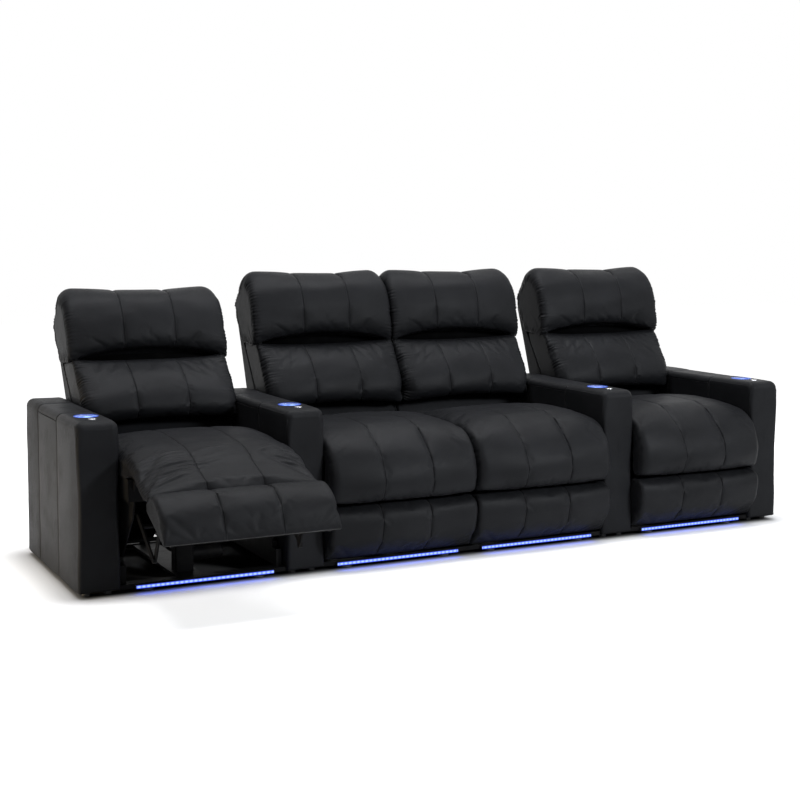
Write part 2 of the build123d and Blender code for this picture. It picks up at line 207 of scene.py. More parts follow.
def tubeGrid(path, radius, sideCount=10, reference=(1, 0, 0)):
    # circle of `radius` carried along the path, in the plane square to it; both ends close to a point
    path = np.asarray(path, float)
    tangent = np.gradient(path, axis=0)
    tangent /= np.linalg.norm(tangent, axis=1, keepdims=True)
    sideways = np.cross(tangent, np.asarray(reference, float))
    sideways /= np.linalg.norm(sideways, axis=1, keepdims=True)
    upwards = np.cross(tangent, sideways)
    turn = np.linspace(0, 2 * math.pi, sideCount, endpoint=False)[:, None, None]
    ring = path[None] + radius * (np.cos(turn) * sideways + np.sin(turn) * upwards)
    ends = [np.broadcast_to(path[k], (sideCount, 1, 3)) for k in (0, -1)]
    return np.concatenate([ends[0], ring, ends[1]], axis=1)


def plateGrid(outline, low, high):
    # flat plate: the outline carried from x = low to x = high, both sides closed to the outline's middle
    outline = np.asarray(outline, float)
    middle = outline.mean(axis=0)
    rows = [np.column_stack([np.full(len(outline), x), *(middle + (outline - middle) * k).T])
            for x, k in ((low, 0), (low, 1), (high, 1), (high, 0))]
    return np.stack(rows, axis=1)


formDefaults = {
    "corners": None, "seams": (), "seamColumns": (-9, -5, -2.5, 0, 2.5, 5, 9), "seamClear": 11,
    "noSeam": 50.0, "crown": 0.0, "puff": 0.0, "bulge": 0.0, "rearShare": 0.0, "endShare": 0.3,
    "endReach": 40.0, "rearCorner": 8.0, "freeCorner": False, "cornerColumns": 8, "sideRows": 8,
}


def carriedForm(given):
    # Section carried across from ends[0] to ends[1]. The section is a closed line: a face chain and a rear
    # chain with the same two ends. A point is section + normal * rise(across), rise being the crown 1 - |t|^3
    # plus a puff 1 - |p|^3 in each sewn panel. Near an end the section pulls in along a quarter circle of the
    # corner radius, and the side closes onto the line half way between the face and rear chains.
    s = {**formDefaults, **given}
    faceCount = s["rows"]
    loop = np.vstack([throughPoints(s["face"], faceCount), throughPoints(s["rear"], faceCount)[-2:0:-1]])
    count = len(loop)
    ahead = np.roll(loop, -1, axis=0)
    area = np.sum(loop[:, 0] * ahead[:, 1] - ahead[:, 0] * loop[:, 1])
    tangent = ahead - np.roll(loop, 1, axis=0)
    normal = np.column_stack([tangent[:, 1], -tangent[:, 0]]) * np.sign(area)
    normal /= np.linalg.norm(normal, axis=1, keepdims=True)
    run = lengthAlong(loop)
    faceLength = run[faceCount - 1]
    partner = (-np.arange(count)) % count
    thickness = np.linalg.norm(loop - loop[partner], axis=1)
    onFace = np.arange(count) < faceCount
    nearEnd = np.minimum(run, np.abs(faceLength - run))
    share = np.where(onFace, 1.0, s["rearShare"])
    share = share * (1 - (1 - s["endShare"]) * np.exp(-(nearEnd / s["endReach"]) ** 2))

    def radiusOf(corner):
        # corner radii spread evenly along the face, and met again from the far end along the rear
        onRear = 1 - (run - faceLength) / max(run[-1] - faceLength, 1e-6)
        values = np.interp(np.where(onFace, run / faceLength, onRear), np.linspace(0, 1, len(corner)), corner)
        values = np.where(onFace, values, np.minimum(values, s["rearCorner"]))
        return values if s["freeCorner"] else np.minimum(values, 0.45 * thickness + 0.5)

    low, high = s["ends"]
    radii = [radiusOf(corner) for corner in s["corners"] or (s["corner"], s["corner"])]
    inside = (low + radii[0].max(), high - radii[1].max())
    seams = np.asarray(s["seams"], float)
    across = np.linspace(*inside, s["columns"])
    if len(seams):
        clear = np.abs(across[:, None] - seams).min(axis=1) > s["seamClear"]
        across = np.concatenate([across[clear], (seams[:, None] + np.array(s["seamColumns"])).ravel()])
    across = np.unique(np.round(across, 3))
    across = across[(across >= inside[0]) & (across <= inside[1])]
    middle, half = (low + high) / 2, (high - low) / 2
    edges = np.concatenate([[low], seams, [high]])

    def rise(x):
        # crown over the whole width, plus the puff of the sewn panel that holds x
        t = np.abs(x - middle) / half
        panel = np.clip(np.searchsorted(edges, x, side="right") - 1, 0, len(edges) - 2)
        p = np.abs(2 * (x - edges[panel]) / (edges[panel + 1] - edges[panel]) - 1)
        return s["crown"] * (1 - t ** 3) + s["puff"] * (1 - p ** 3)

    def layer(x, pull):
        # the section at x, moved along its normals by rise * share - pull
        x = np.broadcast_to(x, pull.shape)
        lift = rise(x) * share[:, None] - pull
        yz = (loop[:, None, k] + normal[:, None, k] * lift for k in (0, 1))
        return np.stack([x, *yz], axis=-1)

    parts = [layer(across[None, :], np.zeros((count, len(across))))]
    toRim = [np.broadcast_to(np.minimum(across - low, high - across)[None], (count, len(across)))]
    step = np.linspace(0, 1, s["cornerColumns"] + 1)[1:]
    k = 1 - np.linspace(0, 1, s["sideRows"] + 1)[1:]
    for wall, sign, radius in ((low, -1, radii[0]), (high, 1, radii[1])):
        flat, radius = (radius.max() - radius)[:, None], radius[:, None]
        length = flat + radius * math.pi / 2
        reach = step[None, :] * length
        turn = np.clip(reach - flat, 0, None) / np.maximum(radius, 1e-6)
        inwards = np.where(reach < flat, reach, flat + radius * np.sin(turn))
        outer = layer(wall - sign * radius.max() + sign * inwards, radius * (1 - np.cos(turn)))
        rim = outer[:, -1]
        line = (rim + rim[partner]) / 2
        cap = line[:, None] + (rim - line)[:, None] * k[None, :, None]
        cap[..., 0] += sign * s["bulge"] * (1 - k ** 2)[None, :] * (thickness / thickness.max())[:, None]
        far = [(1 - step)[None, :] * length, -thickness[:, None] / 2 * (1 - k)[None, :]]
        at = 0 if sign < 0 else len(parts)
        parts.insert(at, np.concatenate([outer, cap], axis=1)[:, ::sign])
        toRim.insert(at, np.concatenate(far, axis=1)[:, ::sign])
    grid = np.concatenate(parts, axis=1)
    seamSide = np.full(grid.shape[:2], s["noSeam"])
    if len(seams):
        apart = grid[..., 0, None] - seams
        nearest = np.abs(apart).argmin(axis=-1)
        seamSide = np.take_along_axis(apart, nearest[..., None], axis=-1)[..., 0]
    return {"grid": grid, "run": np.broadcast_to(run[:, None], grid.shape[:2]), "share": share[:, None],
            "toRim": np.concatenate(toRim, axis=1), "seamSide": seamSide, "onFace": onFace[:, None] * 1.0,
            "faceLength": faceLength}


def pushed(form, amount):
    # moves every point along the surface's outward normal by `amount` millimetres
    normal = gridNormals(form["grid"])
    centre = form["grid"].mean(axis=(0, 1))
    if np.sum(normal * (form["grid"] - centre)) < 0:
        normal = -normal
    form["grid"] = form["grid"] + normal * amount[..., None]
    return form


gatherLook = {
    "drift": 0.35, "driftLength": 2.4, "bend": 1.6, "power": 0.8, "level": 0.62,
    "middle": 0.65, "swing": 0.5, "swingLength": 5, "weakest": 0.15, "strongest": 1.4,
}


def gathers(form, depth, pitch, reach, sideReach, seed):
    # puckers square to the edge seam: |sin| ^ power - level makes ridges with sharp valleys; their spacing
    # drifts, their strength swings along the seam, and both sides of the seam fade with exp(-(distance)^2)
    look, run = gatherLook, form["run"]
    drift = look["drift"] * waves(run, pitch * look["driftLength"], seed)
    ridge = np.abs(np.sin(math.pi * run / pitch + look["bend"] * drift)) ** look["power"] - look["level"]
    inwards, outwards = np.clip(form["toRim"], 0, None), np.clip(-form["toRim"], 0, None)
    strength = look["middle"] + look["swing"] * waves(run, pitch * look["swingLength"], seed + 1)
    fade = np.exp(-(inwards / reach) ** 2) * np.exp(-(outwards / sideReach) ** 2)
    return depth * ridge * fade * np.clip(strength, look["weakest"], look["strongest"])


def seamGrooves(form, depth=2.6, width=2.8, soft=0.9, softWidth=14.0):
    # a sharp bell valley and a wide soft one along every seam
    sharp, wide = (np.exp(-(form["seamSide"] / reach) ** 2) for reach in (width, softWidth))
    return -(depth * sharp + soft * wide) * form["share"]


def folds(form, lines):
    # each line is a soft fold from (run, x) to (run, x) with a half width and a depth; it bends a little and
    # fades towards both ends, and a negative depth makes a valley
    total = 0.0
    run, x = form["run"], form["grid"][..., 0]
    for r0, x0, r1, x1, width, depth in lines:
        length = math.hypot(r1 - r0, x1 - x0)
        along = ((run - r0) * (r1 - r0) + (x - x0) * (x1 - x0)) / length ** 2
        off = ((run - r0) * (x1 - x0) - (x - x0) * (r1 - r0)) / length
        off = off + 0.12 * length * (np.clip(along, 0, 1) - 0.5) ** 2
        taper = np.clip(1 - (2 * np.clip(along, -0.2, 1.2) - 1) ** 2, 0, 1)
        total = total + depth * taper * np.exp(-(off / width) ** 2)
    return total * form["onFace"]


def feed(tree, socket, value):
    # links another socket, or sets a plain value
    if isinstance(value, bpy.types.NodeSocket):
        tree.links.new(value, socket)
    else:
        socket.default_value = value


def put(tree, kind, inputs=None, **settings):
    # new shader node, its inputs by name and its settings as attributes
    node = tree.nodes.new("ShaderNode" + kind)
    for name, value in settings.items():
        setattr(node, name, value)
    for name, value in (inputs or {}).items():
        feed(tree, node.inputs[name], value)
    return node


def calc(tree, operation, *values, clamp=False):
    # result of one math node
    node = put(tree, "Math", dict(enumerate(values)), operation=operation)
    node.use_clamp = clamp
    return node.outputs[0]


def ramp(tree, value, low, high, toLow=0.0, toHigh=1.0):
    # smooth step of value from low to high, spread over toLow to toHigh
    inputs = {"Value": value, "From Min": low, "From Max": high, "To Min": toLow, "To Max": toHigh}
    return put(tree, "MapRange", inputs, interpolation_type="SMOOTHSTEP").outputs["Result"]


def noise(tree, place, scale, detail, **more):
    node = put(tree, "TexNoise", {"Vector": place, "Scale": scale, "Detail": detail, **more})
    return node.outputs["Factor" if "Factor" in node.outputs else "Fac"]


def perMetre(tree, size):
    return calc(tree, "DIVIDE", 1.0, size)


def newGroup(name, inputs, outputs):
    # empty node group, with what it is given and what it makes
    tree = bpy.data.node_groups.new(name, "ShaderNodeTree")
    for label, kind, value in inputs:
        socket = tree.interface.new_socket(label, in_out="INPUT", socket_type="NodeSocket" + kind)
        if value is not None:
            socket.default_value = value
    for label in outputs:
        tree.interface.new_socket(label, in_out="OUTPUT", socket_type="NodeSocketFloat")
    return tree, tree.nodes.new("NodeGroupInput").outputs, tree.nodes.new("NodeGroupOutput").inputs


def leatherGrainGroup():
    # pebbles from the distance to cell walls, finer pores on them, and long soft creases; heights in metres
    tree, given, made = newGroup("leatherGrain", [
        ("Position", "Vector", None), ("Pebble Size", "Float", 0.0016), ("Pebble Height", "Float", 0.00012),
        ("Crease Size", "Float", 0.045), ("Crease Height", "Float", 0.0006)], ["Height", "Polish", "Tone"])
    place = given["Position"]
    wander = put(tree, "TexNoise", {"Vector": place, "Scale": 160.0, "Detail": 1.0}).outputs["Color"]
    bent = put(tree, "VectorMath", {0: wander, 1: (0.0014, 0.0014, 0.0014)}, operation="MULTIPLY")
    moved = put(tree, "VectorMath", {0: place, 1: bent.outputs[0]}, operation="ADD")
    scale = perMetre(tree, given["Pebble Size"])
    cells = put(tree, "TexVoronoi", {"Vector": moved.outputs[0], "Scale": scale}, feature="DISTANCE_TO_EDGE")
    pebble = ramp(tree, cells.outputs["Distance"], 0.0, 0.22)
    pores = noise(tree, place, 2600.0, 2.0, Roughness=0.6)
    crease = noise(tree, place, perMetre(tree, given["Crease Size"]), 4.0, Roughness=0.5, Distortion=0.9)
    patch = noise(tree, place, 5.5, 3.0, Roughness=0.55)
    fine = calc(tree, "MULTIPLY", given["Pebble Height"], calc(tree, "MULTIPLY_ADD", pores, 0.45, pebble))
    deep = calc(tree, "MULTIPLY", given["Crease Height"], crease)
    feed(tree, made["Height"], calc(tree, "ADD", fine, deep))
    feed(tree, made["Polish"], calc(tree, "MULTIPLY_ADD", pebble, 0.5, calc(tree, "MULTIPLY", patch, 0.5)))
    feed(tree, made["Tone"], ramp(tree, patch, 0.3, 0.7))
    return tree


def stitchGroup():
    # a row of stitches at an even distance each side of a seam, and the sunk line of the seam itself
    tree, given, made = newGroup("stitchedSeam", [
        ("Side", "Float", 1.0), ("Run", "Float", 0.0), ("Offset", "Float", 0.0045),
        ("Stitch Length", "Float", 0.0042), ("Thread", "Float", 0.0007)], ["Thread Mask", "Sink"])
    away = calc(tree, "ABSOLUTE", given["Side"])
    fromRow = calc(tree, "ABSOLUTE", calc(tree, "SUBTRACT", away, given["Offset"]))
    band = calc(tree, "SUBTRACT", 1.0, ramp(tree, calc(tree, "DIVIDE", fromRow, given["Thread"]), 0.5, 1.1))
    halfStitch = calc(tree, "MULTIPLY", given["Stitch Length"], 0.5)
    part = calc(tree, "DIVIDE", calc(tree, "PINGPONG", given["Run"], halfStitch), halfStitch)
    feed(tree, made["Thread Mask"], calc(tree, "MULTIPLY", band, ramp(tree, part, 0.22, 0.38)))
    feed(tree, made["Sink"], calc(tree, "SUBTRACT", 1.0, ramp(tree, away, 0.0006, 0.0022)))
    return tree


def brushedGroup():
    # fine scratches drawn out along an axis, from noise on a position that the material stretches
    tree, given, made = newGroup("brushedLines", [("Position", "Vector", None), ("Depth", "Float", 0.00002)],
                                 ["Height", "Streak"])
    lines = noise(tree, given["Position"], 1.0, 3.0)
    feed(tree, made["Height"], calc(tree, "MULTIPLY", lines, given["Depth"]))
    feed(tree, made["Streak"], lines)
    return tree


def dustGroup():
    # faint dust in broad patches, and small specks
    tree, given, made = newGroup("dustAndRub", [("Position", "Vector", None), ("Patch Size", "Float", 0.08)],
                                 ["Dust", "Speck"])
    patch = noise(tree, given["Position"], perMetre(tree, given["Patch Size"]), 5.0)
    feed(tree, made["Dust"], ramp(tree, patch, 0.45, 0.8))
    feed(tree, made["Speck"], ramp(tree, noise(tree, given["Position"], 900.0, 1.0), 0.6, 0.78))
    return tree


groups = {
    "grain": leatherGrainGroup(), "stitch": stitchGroup(), "brushed": brushedGroup(), "dust": dustGroup(),
}


def useGroup(tree, key, inputs):
    # one of the shared groups, placed in a material
    node = tree.nodes.new("ShaderNodeGroup")
    node.node_tree = groups[key]
    for name, value in inputs.items():
        feed(tree, node.inputs[name], value)
    return node.outputs


def mixColour(tree, factor, first, second):
    # first where the factor is 0, second where it is 1
    node = put(tree, "Mix", data_type="RGBA", clamp_factor=True)
    for k, value in ((0, factor), (6, first), (7, second)):  # the colour sockets of a Mix node
        feed(tree, node.inputs[k], value)
    return node.outputs[2]


def newMaterial(name, **constants):
    material = bpy.data.materials.new(name)
    material.use_nodes = True
    tree = material.node_tree
    shader = tree.nodes["Principled BSDF"]
    for label, value in constants.items():
        shader.inputs[label.replace("_", " ")].default_value = value
    return material, tree, shader


def objectPlace(tree):
    return put(tree, "TexCoord").outputs["Object"]


def bumped(tree, shader, height):
    bump = put(tree, "Bump", {"Height": height, "Strength": 1.0, "Distance": 1.0})
    feed(tree, shader.inputs["Normal"], bump.outputs["Normal"])


def leatherMaterial(name, tone, toneTwo, rubbed, thread, rough, pebble, creaseHeight, specular):
    # two leather tones in patches, rubbed places and thread on top; relief from grain, thread and sunk seams
    material, tree, shader = newMaterial(name, Specular_IOR_Level=specular)
    place = objectPlace(tree)
    grain = useGroup(tree, "grain", {"Position": place, "Pebble Size": pebble, "Crease Height": creaseHeight})
    read = {key: put(tree, "Attribute", attribute_name=key).outputs["Fac"]
            for key in ("seamSide", "seamRun", "rub")}
    stitch = useGroup(tree, "stitch", {"Side": read["seamSide"], "Run": read["seamRun"]})
    dust = useGroup(tree, "dust", {"Position": place})
    base = mixColour(tree, grain["Tone"], tone, toneTwo)
    base = mixColour(tree, calc(tree, "MULTIPLY", read["rub"], grain["Polish"]), base, rubbed)
    base = mixColour(tree, calc(tree, "MULTIPLY", stitch["Thread Mask"], 0.8), base, thread)
    feed(tree, shader.inputs["Base Color"], base)
    sheen = ramp(tree, grain["Polish"], 0.1, 0.9, rough[1], rough[0])
    feed(tree, shader.inputs["Roughness"], calc(tree, "MULTIPLY_ADD", dust["Dust"], 0.08, sheen, clamp=True))
    height = calc(tree, "MULTIPLY_ADD", stitch["Thread Mask"], 0.0005, grain["Height"])
    bumped(tree, shader, calc(tree, "MULTIPLY_ADD", stitch["Sink"], -0.0009, height))
    return material


def plainMaterial(name, colour, worn, metallic, rough, stretch, depth=0.00002, specular=0.5):
    # metal, paint, plastic or cloth: two tones mixed by dust and specks, and lines drawn out by `stretch`
    material, tree, shader = newMaterial(name, Metallic=metallic, Specular_IOR_Level=specular)
    place = objectPlace(tree)
    drawn = put(tree, "Mapping", {"Vector": place, "Scale": stretch}).outputs["Vector"]
    lines = useGroup(tree, "brushed", {"Position": drawn, "Depth": depth})
    dust = useGroup(tree, "dust", {"Position": place, "Patch Size": 0.05})
    wear = calc(tree, "MULTIPLY_ADD", dust["Speck"], 0.4, dust["Dust"], clamp=True)
    feed(tree, shader.inputs["Base Color"], mixColour(tree, wear, colour, worn))
    sheen = ramp(tree, lines["Streak"], 0.25, 0.75, *rough)
    feed(tree, shader.inputs["Roughness"], calc(tree, "MULTIPLY_ADD", dust["Dust"], 0.12, sheen, clamp=True))
    bumped(tree, shader, lines["Height"])
    return material


leatherLook = {
    "tone": (0.0070, 0.0073, 0.0082, 1), "toneTwo": (0.0100, 0.0104, 0.0116, 1),
    "rubbed": (0.018, 0.018, 0.019, 1), "thread": (0.03, 0.03, 0.032, 1),
    "rough": (0.34, 0.48), "pebble": 0.0017, "creaseHeight": 0.0007, "specular": 0.055,
}
leatherChanges = {
    "seatLeather": {},
    "armLeather": {"creaseHeight": 0.0005, "rough": (0.4, 0.54)},
    "shellLeather": {"creaseHeight": 0.0004, "rough": (0.42, 0.56)},
    # the side gussets are a darker copy of the leather with less gloss: painted shade on the backs' sides
    "gussetShadeLeather": {"creaseHeight": 0.0004, "rough": (0.46, 0.6), "specular": 0.03,
                      "tone": (0.0030, 0.0031, 0.0035, 1), "toneTwo": (0.0042, 0.0043, 0.0048, 1)},
}
seatLeather, armLeather, shellLeather, gussetShadeLeather = (
    leatherMaterial(name, **{**leatherLook, **change}) for name, change in leatherChanges.items())
paintedSteel = plainMaterial("paintedSteel", (0.004, 0.004, 0.0043, 1), (0.01, 0.0097, 0.0094, 1), 0.0,
                             (0.38, 0.55), (700, 700, 700), specular=0.04)
brushedSteel = plainMaterial("brushedSteel", (0.62, 0.63, 0.65, 1), (0.5, 0.51, 0.53, 1), 1.0,
                             (0.2, 0.36), (150, 150, 4000), 0.00003)
silverCap = plainMaterial("silverCap", (0.78, 0.79, 0.82, 1), (0.66, 0.67, 0.7, 1), 1.0,
                          (0.22, 0.34), (2500, 120, 120))
blackPlastic = plainMaterial("blackPlastic", (0.012, 0.012, 0.013, 1), (0.02, 0.02, 0.02, 1), 0.0,
                             (0.42, 0.58), (1500, 1500, 1500), 0.00005)
# near-black cloth with no gloss, for the sheets that paint shade in the backs' creases and behind the seats'
# mechanism
shadeCloth = plainMaterial("shadeCloth", (0.0025, 0.0025, 0.0027, 1), (0.004, 0.004, 0.004, 1), 0.0,
                           (0.82, 0.95), (2600, 2600, 2600), 0.00006, specular=0.0)
print("materials made")


def glowMaterial(name, edge, core, strength, pitch, middle=None, half=1.0):
    # light points behind a clear strip: cores repeat every `pitch` metres along X, and fade with the height
    # from `middle` to the deep colour of the strip's edges
    material, tree, shader = newMaterial(name, Roughness=0.25, Base_Color=(0.01, 0.03, 0.2, 1),
                                         Emission_Strength=strength)
    place = put(tree, "SeparateXYZ", {"Vector": objectPlace(tree)}).outputs
    beat = calc(tree, "DIVIDE", calc(tree, "PINGPONG", place["X"], pitch / 2), pitch / 2)
    point = calc(tree, "SUBTRACT", 1.0, calc(tree, "MULTIPLY", ramp(tree, beat, 0.2, 1.0), 0.6))
    if middle is not None:
        offMiddle = calc(tree, "ABSOLUTE", calc(tree, "SUBTRACT", place["Z"], middle))
        inBand = calc(tree, "SUBTRACT", 1.0, ramp(tree, calc(tree, "DIVIDE", offMiddle, half), 0.25, 0.95))
        point = calc(tree, "MULTIPLY", point, inBand)
    feed(tree, shader.inputs["Emission Color"], mixColour(tree, point, edge, core))
    return material


stripGlow = glowMaterial("stripGlow", (0.0, 0.03, 0.8, 1), (0.5, 0.72, 1.4, 1), 1.0, 0.0176, 0.0222, 0.0062)
cupGlow = glowMaterial("cupGlow", (0.0, 0.04, 0.5, 1), (0.55, 0.85, 1.25, 1), 1.5, 0.04, 0.6145, 0.0058)
rimGlow = glowMaterial("rimGlow", (0.0, 0.02, 0.25, 1), (0.02, 0.1, 0.7, 1), 1.0, 0.03)


def dress(piece, material):
    piece.data.materials.clear()
    piece.data.materials.append(material)


def addPiece(name, grid, toRow, material, slot, body, fields=None):
    # closed piece with its material, riding on a body
    piece = solidFrom(name, grid, toRow, fields)
    dress(piece, material)
    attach(piece, body)
    return piece


def paintNode(name, material):
    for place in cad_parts[name].material_slots:
        place.material = material


def seamFields(form, rub):
    # metres to the nearest seam, metres round the section, and how rubbed the leather is
    return {"seamSide": form["seamSide"] * mm, "seamRun": form["run"] * mm, "rub": rub}


soft = {
    "half": 315.5, "side": 0.3, "armGap": 1.8, "rubReach": 9.0, "rub": 0.8, "billow": (0.6, 110, 5),
    "edgeReach": 60, "dipBand": 90, "cornerBand": 60, "dropBand": 50,
    "leanHeights": (690, 800), "leanAcross": (0.2, 1.0), "roomHeights": (700, 810), "roomShare": 1.22,
}
coverDefaults = {
    "ends": (-soft["half"], soft["half"]), "seams": (-104.0, 104.0), "columns": 96, "sideRows": 10,
    "bulge": 2.0, "puff": 1.2, "arch": 0, "dip": 0, "flare": 0, "lowCorners": 0, "highCorners": 0,
    "topDrop": 0, "refine": False, "folds": (),
}
headPillow = {**coverDefaults,
    "face": [(724, 818), (704, 830), (696, 862), (706, 926), (722, 985), (748, 1038), (788, 1082),
             (838, 1106), (888, 1090), (916, 1046), (930, 1000), (934, 962)],
    "rear": [(724, 818), (790, 814), (856, 816), (888, 865), (919, 912), (927, 948), (934, 962)],
    "corner": (14, 16, 20, 22, 24, 28, 40, 54, 60, 54, 40, 30), "crown": 15, "rows": 110,
    "arch": 38, "lowCorners": 16, "dip": 14, "flare": 12, "refine": True, "gather": (6.0, 14, 30, 30),
    "seed": 11,
}
lumbarPillow = {**coverDefaults,
    "face": [(618, 548), (590, 553), (573, 577), (569, 608), (582, 646), (612, 688), (650, 737), (686, 784),
             (714, 802)],
    "rear": [(618, 548), (678, 550), (700, 580), (768, 680), (842, 790), (800, 802), (714, 802)],
    "corner": (84, 76, 56, 40, 28, 22, 16, 12), "crown": 18, "rows": 90,
    "arch": 30, "dip": 4, "highCorners": 12, "refine": True, "gather": (7.0, 15, 40, 30), "seed": 23,
}
footrestPad = {**coverDefaults,
    "face": [(12, 42), (-2, 50), (-27, 78), (-52, 112), (-62, 152), (-66, 196), (-55, 232), (-34, 250),
             (-4, 256)],
    "rear": [(12, 42), (19, 46), (20.6, 60), (20.6, 150), (20.6, 244), (14, 254), (-4, 256)],
    "corner": (30, 30, 24, 20, 18, 18, 18, 16), "crown": 8, "puff": 1.0, "rows": 70,
    "gather": (1.6, 22, 14, 20), "seed": 31,
}
closedPad = {**footrestPad, "topDrop": 9.0}
seatCushion = {**coverDefaults,
    "face": [(-10, 266), (-42, 266), (-62, 283), (-71, 333), (-60, 396), (-27, 456), (34, 496), (120, 510),
             (220, 514), (300, 514), (400, 510), (480, 502), (545, 486), (566, 462)],
    "rear": [(-10, 266), (2, 272), (7.5, 300), (7.8, 360), (9, 412), (24, 434), (70, 427), (150, 426),
             (300, 426), (450, 426), (556, 430), (566, 462)],
    "corner": (34, 36, 34, 28, 22, 22, 24, 26, 24, 24, 22), "crown": 14, "rows": 160,
    "gather": (4.0, 23, 22, 20), "seed": 47, "bendStart": (45, 470), "bendEnd": (-35, 400),
}
openCushion = {**seatCushion,
    "face": [(-150, 386), (-180, 386), (-196, 394), (-190, 408), (-160, 418), (-120, 432), (-75, 449),
             (-30, 474), (20, 490), (75, 500), (125, 503), (200, 510), (300, 514), (400, 510), (480, 502),
             (545, 486), (566, 462)],
    "rear": [(-150, 386), (-136, 391), (-85, 413.5), (-31, 437), (24, 438), (70, 427), (150, 426), (300, 426),
             (450, 426), (556, 430), (566, 462)],
    "corner": (10, 14, 18, 22, 26, 28, 28, 26, 24, 24, 22), "crown": 15, "refine": True,
    "gather": (4.0, 16, 26, 24),
    "folds": ((88, -311, 152, -110, 8.0, 7.5), (113, -311, 172, -70, 9.0, 8.5),  # the fan from the left edge
              (138, -311, 192, -92, 8.0, 7.0), (163, -311, 212, -50, 9.0, 8.0),
              (188, -311, 232, -84, 8.0, 6.5), (213, -311, 252, -118, 9.0, 6.0),
              (238, -311, 272, -66, 8.0, 5.0), (263, -311, 292, -96, 9.0, 4.0),
              (112, -290, 150, -180, 6, -2.5), (164, -290, 204, -150, 6, -2.5),
              (214, -290, 246, -160, 6, -2.5), (228, -70, 270, 60, 11, 3.5),
              (196, -90, 232, 20, 10, 3.0), (244, 120, 296, 250, 10, 4.0),
              (160, 308, 206, 180, 8, 5.5), (188, 309, 232, 190, 8, 5.5),
              (216, 309, 258, 200, 8, 5.0), (244, 309, 290, 190, 9, 4.5), (272, -100, 312, 70, 12, 3.0)),
}


def doubled(values, count):
    # values known at every second row of axis 0; the rows between are cubic means (-1, 9, 9, -1) / 16 of them
    last = len(values) - 1
    made = np.empty((count,) + values.shape[1:])
    made[::2] = values[:(count + 1) // 2]
    k = np.arange(count // 2)
    before, ahead, far = np.clip(k - 1, 0, last), np.clip(k + 1, 0, last), np.clip(k + 2, 0, last)
    made[1::2] = (9 * (values[k] + values[ahead]) - values[before] - values[far]) / 16
    return made


def refined(form):
    # one more row between every two rows of the closed section, the cubic mean of its four neighbours
    def between(values):
        # the rows, with cubic means (-1, 9, 9, -1) / 16 between them
        near = values + np.roll(values, -1, axis=0)
        far = np.roll(values, 1, axis=0) + np.roll(values, -2, axis=0)
        made = np.empty((2 * len(values),) + values.shape[1:])
        made[::2], made[1::2] = values, (9 * near - far) / 16
        return made

    run = form["run"]
    step = np.diff(np.vstack([run, run[-1:] + (run[-1:] - run[-2:-1])]), axis=0)
    made = {**form, **{key: between(form[key]) for key in ("grid", "toRim", "seamSide", "onFace", "share")}}
    made["run"] = np.empty(made["toRim"].shape)
    made["run"][::2], made["run"][1::2] = run, run + step / 2
    return made


puffLook = {
    "pressure": 2.2, "stiff": 20.0, "shear": 8.0, "bend": 0.5, "spare": 0.016, "mass": 0.25, "pinStiff": 0.6,
    "quality": 5, "frames": 20, "cap": 24.0, "part": 0.7, "pinLevels": 20,
    "seamHold": 6.0, "seamShare": 0.08, "rimHold": 5.0, "endHold": 22.0,
}


def heldShare(form):
    # 1 where the cover is sewn down, at its rear, its side rims and its two ends; a little of it at the seams
    nearEnd = np.minimum(form["run"], np.abs(form["faceLength"] - form["run"]))
    held = np.maximum(np.exp(-(form["seamSide"] / puffLook["seamHold"]) ** 2) * puffLook["seamShare"],
                      (1 - form["onFace"]) * np.ones(form["seamSide"].shape))
    held = np.maximum(held, np.exp(-(form["toRim"] / puffLook["rimHold"]) ** 2))
    return np.maximum(held, np.exp(-(nearEnd / puffLook["endHold"]) ** 2))


def addPuff(piece):
    # cloth blown up by an even pressure, cut larger by `spare`, and held by its vertex group
    cloth = piece.modifiers.new("puff", "CLOTH")
    settings = cloth.settings
    settings.quality, settings.mass = puffLook["quality"], puffLook["mass"]
    settings.vertex_group_mass, settings.pin_stiffness = "held", puffLook["pinStiff"]
    settings.tension_stiffness = settings.compression_stiffness = puffLook["stiff"]
    settings.shear_stiffness, settings.bending_stiffness = puffLook["shear"], puffLook["bend"]
    settings.use_pressure, settings.uniform_pressure_force = True, puffLook["pressure"]
    settings.shrink_min = -puffLook["spare"]
    settings.effector_weights.gravity = 0
    cloth.collision_settings.use_collision = False
    cloth.point_cache.frame_start, cloth.point_cache.frame_end = 1, puffLook["frames"]


